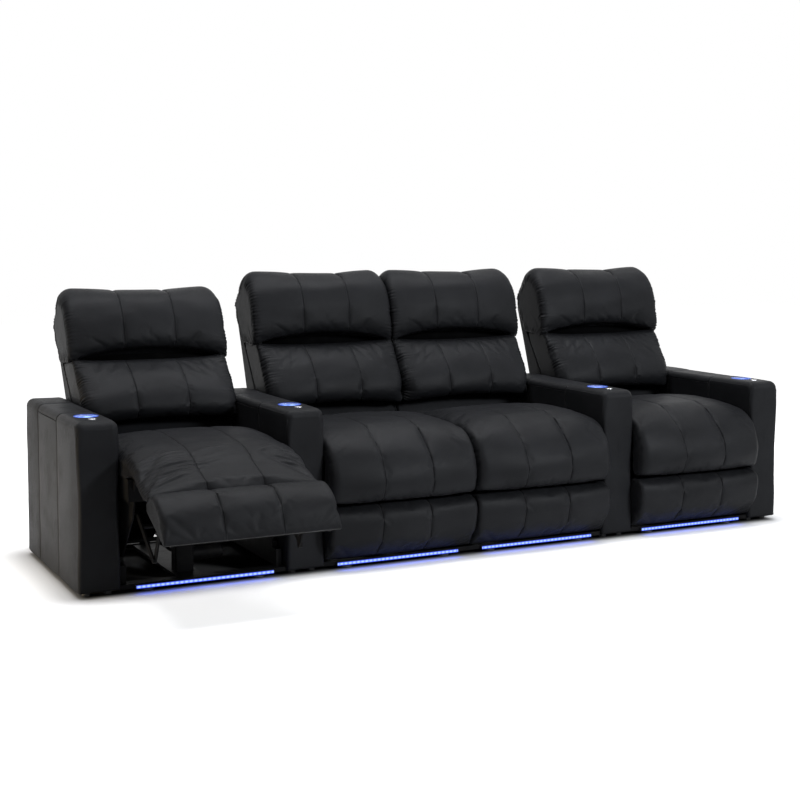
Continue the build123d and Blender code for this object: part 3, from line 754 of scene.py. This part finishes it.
def puffed(form):
    # Cloth on every second row and column of the closed form: pressure swells it between the places that hold
    # it. It is cut a little too large, so that spare leather gathers there. A point's move is at most `cap`
    # millimetres, and the form takes `part` of it. The rows between take cubic means.
    grid = form["grid"]
    rows, columns = grid.shape[:2]
    keep = np.unique(np.r_[np.arange(0, columns, 2), columns - 1])
    coarse = grid[::2][:, keep]
    points, quads, triangles, back = closedFaces(coarse)
    weight = np.zeros(len(points))
    np.maximum.at(weight, back, heldShare(form)[::2][:, keep].ravel())
    piece = newMesh("puffing", points * mm, quads, triangles)
    pins = piece.vertex_groups.new(name="held")
    level = np.round(weight * puffLook["pinLevels"]).astype(int)
    for k in range(1, puffLook["pinLevels"] + 1):
        pins.add(np.where(level == k)[0].tolist(), k / puffLook["pinLevels"], "REPLACE")
    addPuff(piece)
    scene = bpy.context.scene
    for step in range(1, puffLook["frames"] + 1):
        scene.frame_set(step)
    moved = piece.evaluated_get(bpy.context.evaluated_depsgraph_get()).data
    after = np.empty(len(moved.vertices) * 3, np.float32)
    moved.vertices.foreach_get("co", after)
    scene.frame_set(1)
    bpy.data.objects.remove(piece)
    move = after.reshape(-1, 3) * 1000.0 - points
    far = np.linalg.norm(move, axis=1, keepdims=True)
    move *= np.minimum(1.0, puffLook["cap"] / np.maximum(far, 1e-6))
    print("   moved", round(float(far.mean()), 2), "mm on average, cloth points", len(points))
    move = move[back].reshape(coarse.shape)
    move = doubled(np.concatenate([move, move[:1]]), rows)
    if columns % 2 == 0:
        move = np.concatenate([move, move[:, -1:]], axis=1)
    move = doubled(move.transpose(1, 0, 2), columns + 1 - columns % 2).transpose(1, 0, 2)[:, :columns]
    form["grid"] = grid + puffLook["part"] * move
    return form


def puffedForm(piece):
    # the carried form, swollen by cloth, with one more row between every two rows where the piece asks for
    # refining
    form = carriedForm(piece)
    started = time.time()
    form = puffed(form)
    print("   puffed in", round(time.time() - started, 1), "s")
    return refined(form) if piece["refine"] else form


def leanings(form, piece, beside):
    # the lower edge rises in the middle by arch * (1 - x^2), the upper edge dips there by dip *
    # (1 - x^2)^1.5, corners move with x^4, topDrop lowers the upper edge, and sides lean out by flare above
    # the arms
    grid = form["grid"].copy()
    x, height = grid[..., 0] / soft["half"], grid[..., 2].copy()
    inMiddle, top = np.clip(1 - x ** 2, 0, 1), height.max()
    toStart = np.minimum(form["run"], np.abs(form["run"].max() - form["run"]))
    nearStart = np.exp(-(toStart / soft["edgeReach"]) ** 2)
    grid[..., 2] += (piece["arch"] * inMiddle - piece["lowCorners"] * x ** 4) * nearStart
    grid[..., 2] -= piece["dip"] * inMiddle ** 1.5 * smoothStep(top - soft["dipBand"], top, height)
    grid[..., 2] += piece["highCorners"] * x ** 4 * smoothStep(top - soft["cornerBand"], top, height)
    grid[..., 2] -= piece["topDrop"] * smoothStep(top - soft["dropBand"], top, height)
    lean = np.where(x < 0, -beside[0], beside[1]) * piece["flare"] * smoothStep(*soft["leanHeights"], height)
    grid[..., 0] += lean * smoothStep(*soft["leanAcross"], np.abs(x))
    return {**form, "grid": grid}


def softDetail(form, piece, seed):
    # gathers, a slow billow of the face, seam grooves and folds, added up and pushed along the normals
    size, length, seedStep = soft["billow"]
    amount = gathers(form, *piece["gather"], seed)
    billow = waves(form["run"], length, seed + seedStep, y=form["grid"][..., 0])
    amount = amount + size * billow * form["onFace"]
    return pushed(form, amount + seamGrooves(form) + folds(form, piece["folds"]))


def heldBetween(form, piece, beside):
    # nothing passes |x| = half + side, less armGap beside an arm; above the arms a side may lean out further
    grid = form["grid"]
    aboveArm = smoothStep(*soft["roomHeights"], grid[..., 2])
    above = soft["roomShare"] * piece["flare"] * aboveArm - soft["armGap"]
    room = soft["half"] + soft["side"] + above[..., None] * np.array(beside)
    grid[..., 0] = np.clip(grid[..., 0], -room[..., 0], room[..., 1])
    return form


masters = {key: puffedForm(piece) for key, piece in (
    ("head_pillow", headPillow), ("lumbar_pillow", lumbarPillow), ("footrest_pad", footrestPad),
    ("closed", seatCushion), ("opened", openCushion))}
print("forms puffed")
for seat in seats:
    opened = seat in row["footrestOpen"]
    beside = row["armBeside"][seat]
    pad, cushion = (footrestPad, openCushion) if opened else (closedPad, seatCushion)
    for key, piece, body in (("head_pillow", headPillow, "back"), ("lumbar_pillow", lumbarPillow, "back"),
                             ("footrest_pad", pad, "footrest"), ("cushion", cushion, "carriage")):
        master = masters[key if key in masters else "opened" if opened else "closed"]
        form = softDetail(leanings(master, piece, beside), piece, piece["seed"] + 100 * seat)
        form = heldBetween(form, piece, beside)
        fields = seamFields(form, np.exp(-(form["toRim"] / soft["rubReach"]) ** 2) * soft["rub"])
        cover = solidFrom(f"seat_{seat}_{key}_leather", form["grid"], onSeat(seat, body), fields)
        dress(cover, seatLeather)
        if key == "cushion":
            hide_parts(f"seat_{seat}_cushion", f"seat_{seat}_front_roll")
            end = seatPoints(np.array([0.0, *piece["bendEnd"]]), seat, "footrest")
            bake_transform(cover)
        else:
            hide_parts(f"seat_{seat}_{key}")
            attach(cover, f"{body}_{seat}")
print("seat covers made")

backShell = {
    "face": [(655, 262), (716, 263), (745, 360), (790, 488), (837, 620), (894, 782), (949, 934), (930, 950)],
    "rear": [(655, 262), (641.5, 300), (641.5, 400), (642, 490), (735, 630), (830, 772), (921, 908),
             (930, 950)],
    "corner": (8, 12, 14, 14, 14, 12, 10), "rearCorner": 4, "crown": 7, "rows": 90, "columns": 60,
    "ends": (-soft["half"], soft["half"]),
}
backWelt = {
    "radius": 3.0, "sunk": 0.8, "column": 12, "every": 3, "points": 90,
    "heights": {"front": (470, 905), "rear": (300, 925)},
}
backBracket = {
    "boss": 13, "bossTurn": (math.pi * 0.6, math.pi * 1.4), "bossPoints": 9,
    "foot": [(548, 317), (641, 300), (641, 480)], "low": 278.0, "high": 284.0,
}
sideGusset = {
    "outline": [(680, 556), (632, 560), (600, 590), (596, 610), (606, 640), (640, 690), (676, 740),
                (706, 788), (708, 816), (706, 850), (724, 926), (740, 980), (766, 1028), (800, 1064),
                (838, 1086), (880, 1070), (900, 1040), (912, 1000), (915, 960), (900, 920), (830, 810),
                (735, 660), (700, 600)],
    "low": 290.0, "high": 309.0,
}
# flat black sheet across the crease between the head and lumbar pillows: painted shade in the crease
creaseShadeSheet = {
    "outline": [(772, 785), (764, 806), (770, 832), (850, 866), (866, 840), (846, 792)], "half": 300.0,
}


def bracketOutline():
    # an arc round the back's pivot, closed over the three points at the shell
    (y, z), radius = row["backPivot"], backBracket["boss"]
    turn = np.linspace(*backBracket["bossTurn"], backBracket["bossPoints"])
    return [(y + radius * math.cos(a), z + radius * math.sin(a)) for a in turn] + backBracket["foot"]


def backWeltPath(form, end, sign):
    # the shell's own grid column beside its edge, between two heights, moved inwards by `sunk`; the shell's
    # face chain looks to the rear
    lower, upper = backWelt["heights"][end]
    line = form["grid"][:, backWelt["column"] if sign < 0 else -1 - backWelt["column"]]
    onEnd = (form["onFace"][:, 0] < 0.5) == (end == "front")
    chosen = line[onEnd & (line[:, 2] > lower) & (line[:, 2] < upper)]
    chosen = chosen[np.argsort(chosen[:, 2])][::backWelt["every"]]
    return throughPoints(chosen, backWelt["points"]) - np.array((sign * backWelt["sunk"], 0.0, 0.0))


for seat in seats:
    toRow, body = onSeat(seat, "back"), f"back_{seat}"
    form = carriedForm(backShell)
    shell = addPiece(f"seat_{seat}_outside_back_leather", form["grid"], toRow, shellLeather, "leather", body,
                     seamFields(form, 0 * form["toRim"]))
    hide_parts(f"seat_{seat}_back_shell")
    for side, sign in sides:
        grid = plateGrid(bracketOutline(), sign * backBracket["low"], sign * backBracket["high"])
        addPiece(f"seat_{seat}_back_bracket_{side}", grid, toRow, paintedSteel, "black_steel", body)
        for end in backWelt["heights"]:
            tube = tubeGrid(backWeltPath(form, end, sign), backWelt["radius"])
            addPiece(f"seat_{seat}_back_welt_{end}_{side}", tube, toRow, shellLeather, "leather", body)
for seat in seats:
    toRow, body = onSeat(seat, "back"), f"back_{seat}"
    for side, sign in sides:
        grid = plateGrid(sideGusset["outline"], sign * sideGusset["low"], sign * sideGusset["high"])
        # the gussets' darker leather paints the shade on the back's sides
        addPiece(f"seat_{seat}_side_gusset_{side}", grid, toRow, gussetShadeLeather, "leather", body)
for seat in seats:
    toRow, body = onSeat(seat, "back"), f"back_{seat}"
    # black sheet in the crease, painted shade between the pillows
    grid = plateGrid(creaseShadeSheet["outline"], -creaseShadeSheet["half"], creaseShadeSheet["half"])
    addPiece(f"seat_{seat}_crease_shade_sheet", grid, toRow, shadeCloth, "black_plastic", body)
print("backs made")

armBox = {
    "halfWidth": 75.0, "depth": 800.0, "top": 622.0, "bottom": 18.0, "topCorner": 27.0, "foot": 5.0,
    "seams": (293.2, 592.8), "puff": 2.6, "rows": 120, "columns": 120,
    "front": (34.0, 11.0), "rear": (22.0, 8.0),  # corner radii at the top and at the sides
    "topShare": (0.74, 0.98), "cornerSteps": 40, "sideClear": 30, "sidePoints": 6,
    "waist": 6.5, "waistRange": (40, 540), "waistReach": 70, "groove": (2.4, 3.2), "ripple": (0.35, 160, 5),
    "lid": (295.0, 591.0), "lidThickness": 28.0, "lidGap": 1.5, "lidCorner": 26.0, "lidSeatGap": 0.3,
    "lidFoot": (4, 0.3, 2), "cutClear": {"side": 20, "lid": 30, "bin": 1, "hole": 40},
    "binWall": 18.0, "binDepth": 260.0, "cup": (160.0, 41.3, 75.3), "button": (75.0, 16.0, 14.3),
    "sharpAngle": 38,
}


def boxSection(bottom, corner, turns, foot):
    # one half of a section runs from the middle of the underside, over the `foot` points and round the upper
    # corner, to the middle of the top; the other half is its mirror image
    half, top = armBox["halfWidth"], armBox["top"]
    up = [(-half + corner * (1 - math.cos(a)), top - corner * (1 - math.sin(a))) for a in np.radians(turns)]
    left = [(0, bottom), (-half / 2, bottom), *foot, *up, (-half / 2, top), (0, top)]
    return {"face": left, "rear": [(-y, z) for y, z in left], "rearShare": 1.0, "endShare": 1.0}


def alongY(form):
    # the section's (x, y, z) order is across, sideways, up: swap so that the arm runs along y
    form["grid"] = form["grid"][..., [1, 0, 2]]
    return form


def armForm():
    # box section carried from front to rear, round at the ends and rounder towards its top, with a waist
    # pressed into the front of its sides by sin^2 of the height, seam grooves and a faint ripple
    half, bottom, foot = armBox["halfWidth"], armBox["bottom"], armBox["foot"]
    clear = armBox["sideClear"]
    heights = np.linspace(bottom + clear, armBox["top"] - armBox["topCorner"] - clear, armBox["sidePoints"])
    lower = [(-half + foot, bottom), (-half, bottom + foot), *((-half, z) for z in heights)]
    toTop = smoothStep(*armBox["topShare"], np.linspace(0, 1, armBox["cornerSteps"]))
    corners = [side + (top - side) * toTop for top, side in (armBox["front"], armBox["rear"])]
    form = alongY(carriedForm({
        **boxSection(bottom, armBox["topCorner"], np.linspace(0, 90, 7), lower), "corners": corners,
        "rearCorner": 999.0, "freeCorner": True, "ends": (0.0, armBox["depth"]), "puff": armBox["puff"],
        "seams": armBox["seams"], "rows": armBox["rows"], "columns": armBox["columns"], "sideRows": 14,
        "cornerColumns": 10}))
    x, y, z = (form["grid"][..., k] for k in range(3))
    start, length = armBox["waistRange"]
    waist = armBox["waist"] * np.sin(math.pi * np.clip((z - start) / length, 0, 1)) ** 2
    x *= 1 - waist / half * np.exp(-(y / armBox["waistReach"]) ** 2)
    depth, width = armBox["groove"]
    size, length, seed = armBox["ripple"]
    groove = -(depth * np.exp(-(form["seamSide"] / width) ** 2))
    return pushed(form, groove + size * waves(form["run"], length, seed, y=y))


def lidForm():
    # box section with large upper corners, carried from the front to the rear of the lid's opening
    half, corner, bottom = armBox["halfWidth"], armBox["lidCorner"], armBox["top"] - armBox["lidThickness"]
    inwards, slack, up = armBox["lidFoot"]
    lower = [(-half + inwards, bottom), (-half + slack, bottom + up)]
    low, high = armBox["lid"]
    return alongY(carriedForm({
        **boxSection(bottom, corner, np.linspace(8, 90, 6), lower), "corner": (2, 2, 2, 3, 4, 5, 5),
        "rearCorner": 99, "ends": (low + armBox["lidGap"], high - armBox["lidGap"]), "rows": 50,
        "columns": 60, "sideRows": 6, "cornerColumns": 6}))


def boxCutter(low, high):
    # box between two corners in millimetres
    low, high = np.array(low, float), np.array(high, float)
    corner = np.array([[x, y, z] for x in (0, 1) for y in (0, 1) for z in (0, 1)], float)
    quads = np.array([[0, 1, 3, 2], [4, 6, 7, 5], [0, 4, 5, 1], [2, 3, 7, 6], [0, 2, 6, 4], [1, 5, 7, 3]])
    return newMesh("cutter", (low + corner * (high - low)) * mm, quads)


def roundCutter(hole, sideCount=72):
    # upright cylinder on (0, y), from the hole's bottom to well above the arm
    y, radius, depth = hole
    turn = np.linspace(0, 2 * math.pi, sideCount, endpoint=False)
    low, high = armBox["top"] - depth, armBox["top"] + armBox["cutClear"]["hole"]
    rows = [np.column_stack([k * radius * np.cos(turn), y + k * radius * np.sin(turn), np.full(sideCount, z)])
            for z, k in ((low, 0), (low, 1), (high, 1), (high, 0))]
    return solidFrom("cutter", np.stack(rows, axis=1))


def cutBy(piece, cutters):
    # the piece less each cutter, as a plain mesh again
    for cutter in cutters:
        change = piece.modifiers.new("cut", "BOOLEAN")
        change.operation, change.solver, change.object = "DIFFERENCE", "EXACT", cutter
    bpy.context.view_layer.update()
    graph = bpy.context.evaluated_depsgraph_get()
    mesh = bpy.data.meshes.new_from_object(piece.evaluated_get(graph))
    piece.modifiers.clear()
    piece.data = mesh
    for cutter in cutters:
        bpy.data.objects.remove(cutter)


def armCutters():
    # the lid's opening, the storage bin below it, the cup hole and the button's hole
    half, wall, top = armBox["halfWidth"], armBox["binWall"], armBox["top"]
    low, high = armBox["lid"]
    lidSeat = top - armBox["lidThickness"] - armBox["lidSeatGap"]
    binFloor, clear = lidSeat - armBox["binDepth"], armBox["cutClear"]
    side, lidTop, binTop = half + clear["side"], top + clear["lid"], lidSeat + clear["bin"]
    return [
        boxCutter((-side, low, lidSeat), (side, high, lidTop)),
        boxCutter((-half + wall, low + wall, binFloor), (half - wall, high - wall, binTop)),
        roundCutter(armBox["cup"]),
        roundCutter(armBox["button"]),
    ]


bodyForm = armForm()
armBody = solidFrom("armBodyMaster", bodyForm["grid"], None, seamFields(bodyForm, 0 * bodyForm["toRim"]))
cutBy(armBody, armCutters())
armBody.data.set_sharp_from_angle(angle=math.radians(armBox["sharpAngle"]))
armLid = solidFrom("armLidMaster", lidForm()["grid"])
print("arm body", len(armBody.data.polygons))

armWelt = {
    "radius": 2.6, "sunk": 1.5, "height": 603.0, "column": 19, "below": 14, "footClear": 6, "edge": 12,
    "frontClear": 16, "every": (4, 3), "points": 220, "reference": (1, 0.2, 0.1),
}


def armWeltPath(form, sign):
    # the body's own grid line at `height` from the lid seam to the front, then down the front edge
    grid, height = form["grid"], armWelt["height"]
    flat = grid[:, grid.shape[1] // 2]
    onSide = np.where(np.sign(flat[:, 0]) == sign)[0]
    x, z = np.abs(flat[onSide, 0]), flat[onSide, 2]
    level = onSide[np.abs(z - height).argmin()]
    lower = onSide[(z < height - armWelt["below"]) & (z > armBox["bottom"] + armWelt["footClear"])
                   & (x > armBox["halfWidth"] - armWelt["edge"])]
    lower = lower[np.argsort(-flat[lower, 2])]
    y = grid[level, :, 1]
    ahead = np.arange(grid.shape[1])[(y < armBox["lid"][0]) & (y > armWelt["frontClear"])][::-1]
    onTop, onFront = armWelt["every"]
    line = np.vstack([grid[level, ahead][::onTop], grid[lower, armWelt["column"]][::onFront]])
    return throughPoints(line, armWelt["points"]) - np.array((sign * armWelt["sunk"], 0.0, 0.0))


for arm in arms:
    for master, name, body, node in ((armBody, f"arm_{arm}_body_leather", "base", f"arm_{arm}_body"),
                                     (armLid, f"arm_{arm}_lid_leather", f"lid_{arm}", f"arm_{arm}_lid")):
        mesh = master.data.copy()
        mesh.transform(Matrix.Translation(onArm(arm)(np.zeros(3))))
        piece = bpy.data.objects.new(name, mesh)
        bpy.context.scene.collection.objects.link(piece)
        dress(piece, armLeather)
        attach(piece, body)
        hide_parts(node)
    for side, sign in sides:
        tube = tubeGrid(armWeltPath(bodyForm, sign), armWelt["radius"], reference=armWelt["reference"])
        addPiece(f"arm_{arm}_welt_{side}", tube, onArm(arm), armLeather, "leather", "base")
for master in (armBody, armLid):
    bpy.data.objects.remove(master)
print("arms made")

cupLight = {"band": (40.4, 0.8, 606.0, 620.5), "rim": (42.8, 1.3, 624.4), "steps": 64, "rimSides": 8}


def cupRim():
    # thin ring round the cup's flange
    radius, tube, height = cupLight["rim"]
    turn = np.linspace(0, 2 * math.pi, cupLight["steps"] + 1)
    x, y = radius * np.cos(turn), armBox["cup"][0] + radius * np.sin(turn)
    path = np.column_stack([x, y, np.full(len(turn), height)])
    return tubeGrid(path, tube, cupLight["rimSides"], (0, 0, 1))


def cupBand():
    # upright band inside the cup, as a closed rectangle turned about the cup's middle
    radius, thick, low, high = cupLight["band"]
    turn = np.linspace(0, 2 * math.pi, cupLight["steps"] + 1)[:-1]
    section = [(radius, low), (radius - thick, low), (radius - thick, high), (radius, high), (radius, low)]
    middle = armBox["cup"][0]
    rings = [(r * np.cos(turn), middle + r * np.sin(turn), np.full(len(turn), z)) for r, z in section]
    return np.stack([np.stack(ring, -1) for ring in rings], axis=1)


for arm in arms:
    paintNode(f"arm_{arm}_button", silverCap)
    addPiece(f"arm_{arm}_cup_light_rim", cupRim(), onArm(arm), rimGlow, "light_strip", "base")
    addPiece(f"arm_{arm}_cup_light_band", cupBand(), onArm(arm), cupGlow, "light_strip", "base")
for node, material in (("cup_holders", brushedSteel), ("button_housings", blackPlastic),
                       ("base_frames", paintedSteel), ("feet", blackPlastic), ("power_units", paintedSteel),
                       ("power_inlets", blackPlastic)):
    paintNode(node, material)
for seat in seats:
    for node in ("frame", "footrest_frame", "lift_links", "rest_links"):
        paintNode(f"seat_{seat}_{node}", paintedSteel)

strip = {"half": 263.5, "low": 16.0, "high": 28.0}
stripParts = {
    "channel": {"y": (3.5, 14.0), "inset": 0.0, "shorter": 0.0, "look": (blackPlastic, "black_plastic")},
    "lens": {"y": (1.5, 4.5), "inset": 0.2, "shorter": 2.0, "look": (stripGlow, "light_strip")},
}
for seat in seats:
    toRow = fixedAt(row["bayMiddles"][seat - 1])
    for key, part in stripParts.items():
        half, (front, rear) = strip["half"] - part["shorter"], part["y"]
        low, high = strip["low"] + part["inset"], strip["high"] - part["inset"]
        grid = plateGrid([(front, low), (rear, low), (rear, high), (front, high)], -half, half)
        piece = addPiece(f"light_strip_{seat}_{key}", grid, toRow, *part["look"], "base")
        piece.data.polygons.foreach_set("use_smooth", np.zeros(len(piece.data.polygons), bool))
        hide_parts("light_strips")

curtain = {
    "half": 300.0, "top": 346.0, "bottom": 98.0, "place": 535.0, "thick": 1.2, "columns": 90, "rows": 28,
    "notch": 118.0, "notchPlace": -40.0, "notchHalf": 26.0, "notchEdge": 8.0,
    "ripple": 3.5, "rippleLength": 95, "seed": 60,
}
for seat in seats:
    # hanging near-black sheet behind the mechanism, painted shade under the seat; notched over the base's
    # spine, with a ripple that grows downwards
    across = np.linspace(-curtain["half"], curtain["half"], curtain["columns"])
    toNotch = smoothStep(curtain["notchHalf"] + curtain["notchEdge"], curtain["notchHalf"],
                         np.abs(across - curtain["notchPlace"]))
    lower = curtain["bottom"] + (curtain["notch"] - curtain["bottom"]) * toNotch
    down = np.linspace(0, 1, curtain["rows"])[:, None]
    x, z = np.broadcast_to(across, (len(down), len(across))), curtain["top"] + (lower - curtain["top"]) * down
    sway = waves(x, curtain["rippleLength"], curtain["seed"] + seat, y=z)
    y = curtain["place"] + curtain["ripple"] * down * sway
    points = seatPoints(np.stack([x, y, z], axis=-1).reshape(-1, 3), seat, "carriage")
    cloth = newMesh(f"seat_{seat}_shade_curtain", points, gridFaces(*x.shape, closed=False))
    depth = cloth.modifiers.new("depth", "SOLIDIFY")
    depth.thickness, depth.offset = curtain["thick"] * mm, 0.0
    dress(cloth, shadeCloth)
    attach(cloth, f"carriage_{seat}")
print("fittings made")

# the floor's dark tone under the row is a painted shadow
stage = {
    "floorTone": (0.8, 0.8, 0.8, 1), "paintedShadowTone": (0.05, 0.05, 0.05, 1), "nearLift": 0.62, "worldLight": 0.05,
    "reach": 14.0, "footprint": (1.53, 0.36), "footprintMiddle": 0.17,
}


def seenDirectly(tree):
    # 1 for camera, glossy and transmission rays, 0 for the light that falls on the object
    path = put(tree, "LightPath").outputs
    first = calc(tree, "MAXIMUM", path["Is Camera Ray"], path["Is Glossy Ray"])
    return calc(tree, "MAXIMUM", first, path["Is Transmission Ray"])


def beyond(tree, value, half):
    return calc(tree, "MAXIMUM", calc(tree, "SUBTRACT", calc(tree, "ABSOLUTE", value), half), 0.0)


def floorMaterial():
    # painted shadow: dark under the row, pale beyond it, and lifted towards white with the distance from the
    # footprint; the lift is none under the row and weaker near it, which paints the floor darker round the
    # row
    material, tree, shader = newMaterial("floorPaint", Roughness=0.9, Specular_IOR_Level=0.0)
    place = put(tree, "SeparateXYZ", {"Vector": objectPlace(tree)}).outputs
    outX = beyond(tree, place["X"], stage["footprint"][0])
    outY = beyond(tree, calc(tree, "SUBTRACT", place["Y"], stage["footprintMiddle"]), stage["footprint"][1])
    squares = [calc(tree, "MULTIPLY", out, out) for out in (outX, outY)]
    outside = calc(tree, "SQRT", calc(tree, "ADD", *squares))
    # painted shadow: dark base tone under the row
    tone = mixColour(tree, ramp(tree, outside, 0.0, 0.07), stage["paintedShadowTone"], stage["floorTone"])
    feed(tree, shader.inputs["Base Color"], tone)
    # the white lift is weaker near the row: painted shade round it
    near = calc(tree, "MULTIPLY", ramp(tree, outside, 0.0, 0.2), stage["nearLift"])
    lift = calc(tree, "MULTIPLY_ADD", ramp(tree, outside, 0.5, 1.8), 1.0 - stage["nearLift"], near)
    strength = calc(tree, "MULTIPLY", seenDirectly(tree), lift)
    glow = put(tree, "Emission", {"Color": (1, 1, 1, 1), "Strength": strength})
    both = put(tree, "AddShader", {0: shader.outputs[0], 1: glow.outputs[0]})
    tree.links.new(both.outputs[0], tree.nodes["Material Output"].inputs["Surface"])
    return material


corners = np.array([[-1, -1, 0], [1, -1, 0], [1, 1, 0], [-1, 1, 0]]) * stage["reach"]
floor = newMesh("floor", corners, np.array([[0, 1, 2, 3]]))
floor.data.materials.append(floorMaterial())

world = bpy.data.worlds.new("studio")
bpy.context.scene.world = world
world.use_nodes = True
background = world.node_tree.nodes["Background"]
background.inputs["Color"].default_value = (1, 1, 1, 1)
feed(world.node_tree, background.inputs["Strength"],
     calc(world.node_tree, "MULTIPLY_ADD", seenDirectly(world.node_tree), 1.0 - stage["worldLight"],
          stage["worldLight"]))

lamps = {
    "keyLeft": {"place": (-4.6, -3.6, 3.6), "aim": (-0.4, 0, 0.5), "size": (2.6, 2.2), "power": 10,
                "colour": (1.0, 0.9, 0.78), "spread": 120},
    "fillRight": {"place": (3.2, -5.4, 3.2), "aim": (0.3, 0, 0.6), "size": (1.2, 1.0), "power": 160,
                  "colour": (0.93, 0.96, 1.0), "spread": 120},
    "warmSide": {"place": (-3.4, 0.3, 0.3), "aim": (-1.57, 0.2, 0.3), "size": (0.9, 0.5), "power": 3.4,
                 "colour": (1.0, 0.78, 0.5), "spread": 34},
    "overhead": {"place": (0.0, 0.3, 4.6), "aim": (0, 0.1, 0.5), "size": (5.0, 2.0), "power": 140,
                 "colour": (0.96, 0.97, 1.0), "spread": 120},
}
stripLamp = {
    "power": 0.08, "colour": (0.02, 0.1, 1.0), "spread": 180, "depth": 0.012, "ahead": 8.0, "height": 0.022,
    "tilt": -25,
}


def addLamp(name, lamp, size, place, turn):
    # area lamp of a size in metres, turned and then moved to its place
    light = bpy.data.lights.new(name, "AREA")
    light.shape, light.size, light.size_y = "RECTANGLE", *size
    light.energy, light.color, light.spread = lamp["power"], lamp["colour"], math.radians(lamp["spread"])
    holder = bpy.data.objects.new(name, light)
    bpy.context.scene.collection.objects.link(holder)
    holder.matrix_world = Matrix.Translation(place) @ turn


for name, lamp in lamps.items():
    toAim = np.array(lamp["aim"], float) - np.array(lamp["place"], float)
    turn = Vector(toAim).to_track_quat("-Z", "Y").to_matrix().to_4x4()
    addLamp(name, lamp, lamp["size"], lamp["place"], turn)
for seat in seats:
    x, y = row["bayMiddles"][seat - 1] * mm, (-row["frontShift"] - stripLamp["ahead"]) * mm
    addLamp(f"stripLamp{seat}", stripLamp, (2 * strip["half"] * mm, stripLamp["depth"]),
            (x, y, stripLamp["height"]), Matrix.Rotation(math.radians(stripLamp["tilt"]), 4, "X"))

view = {
    "place": (-2.760974, -5.042907, 1.298109), "yaw": 0.469044, "pitch": 0.0901602, "roll": 0.0029914,
    "lens": 63.6266, "sensor": 36.0, "shiftY": -0.0554,
}
camera = bpy.data.objects.new("camera", bpy.data.cameras.new("camera"))
bpy.context.scene.collection.objects.link(camera)
camera.data.lens, camera.data.sensor_width, camera.data.shift_y = view["lens"], view["sensor"], view["shiftY"]
camera.matrix_world = (Matrix.Translation(view["place"]) @ Matrix.Rotation(-view["yaw"], 4, "Z")
                       @ Matrix.Rotation(math.pi / 2 - view["pitch"], 4, "X")
                       @ Matrix.Rotation(view["roll"], 4, "Z"))
bpy.context.scene.camera = camera
bpy.context.scene.view_settings.view_transform = "Standard"
print("room, lights and camera made")
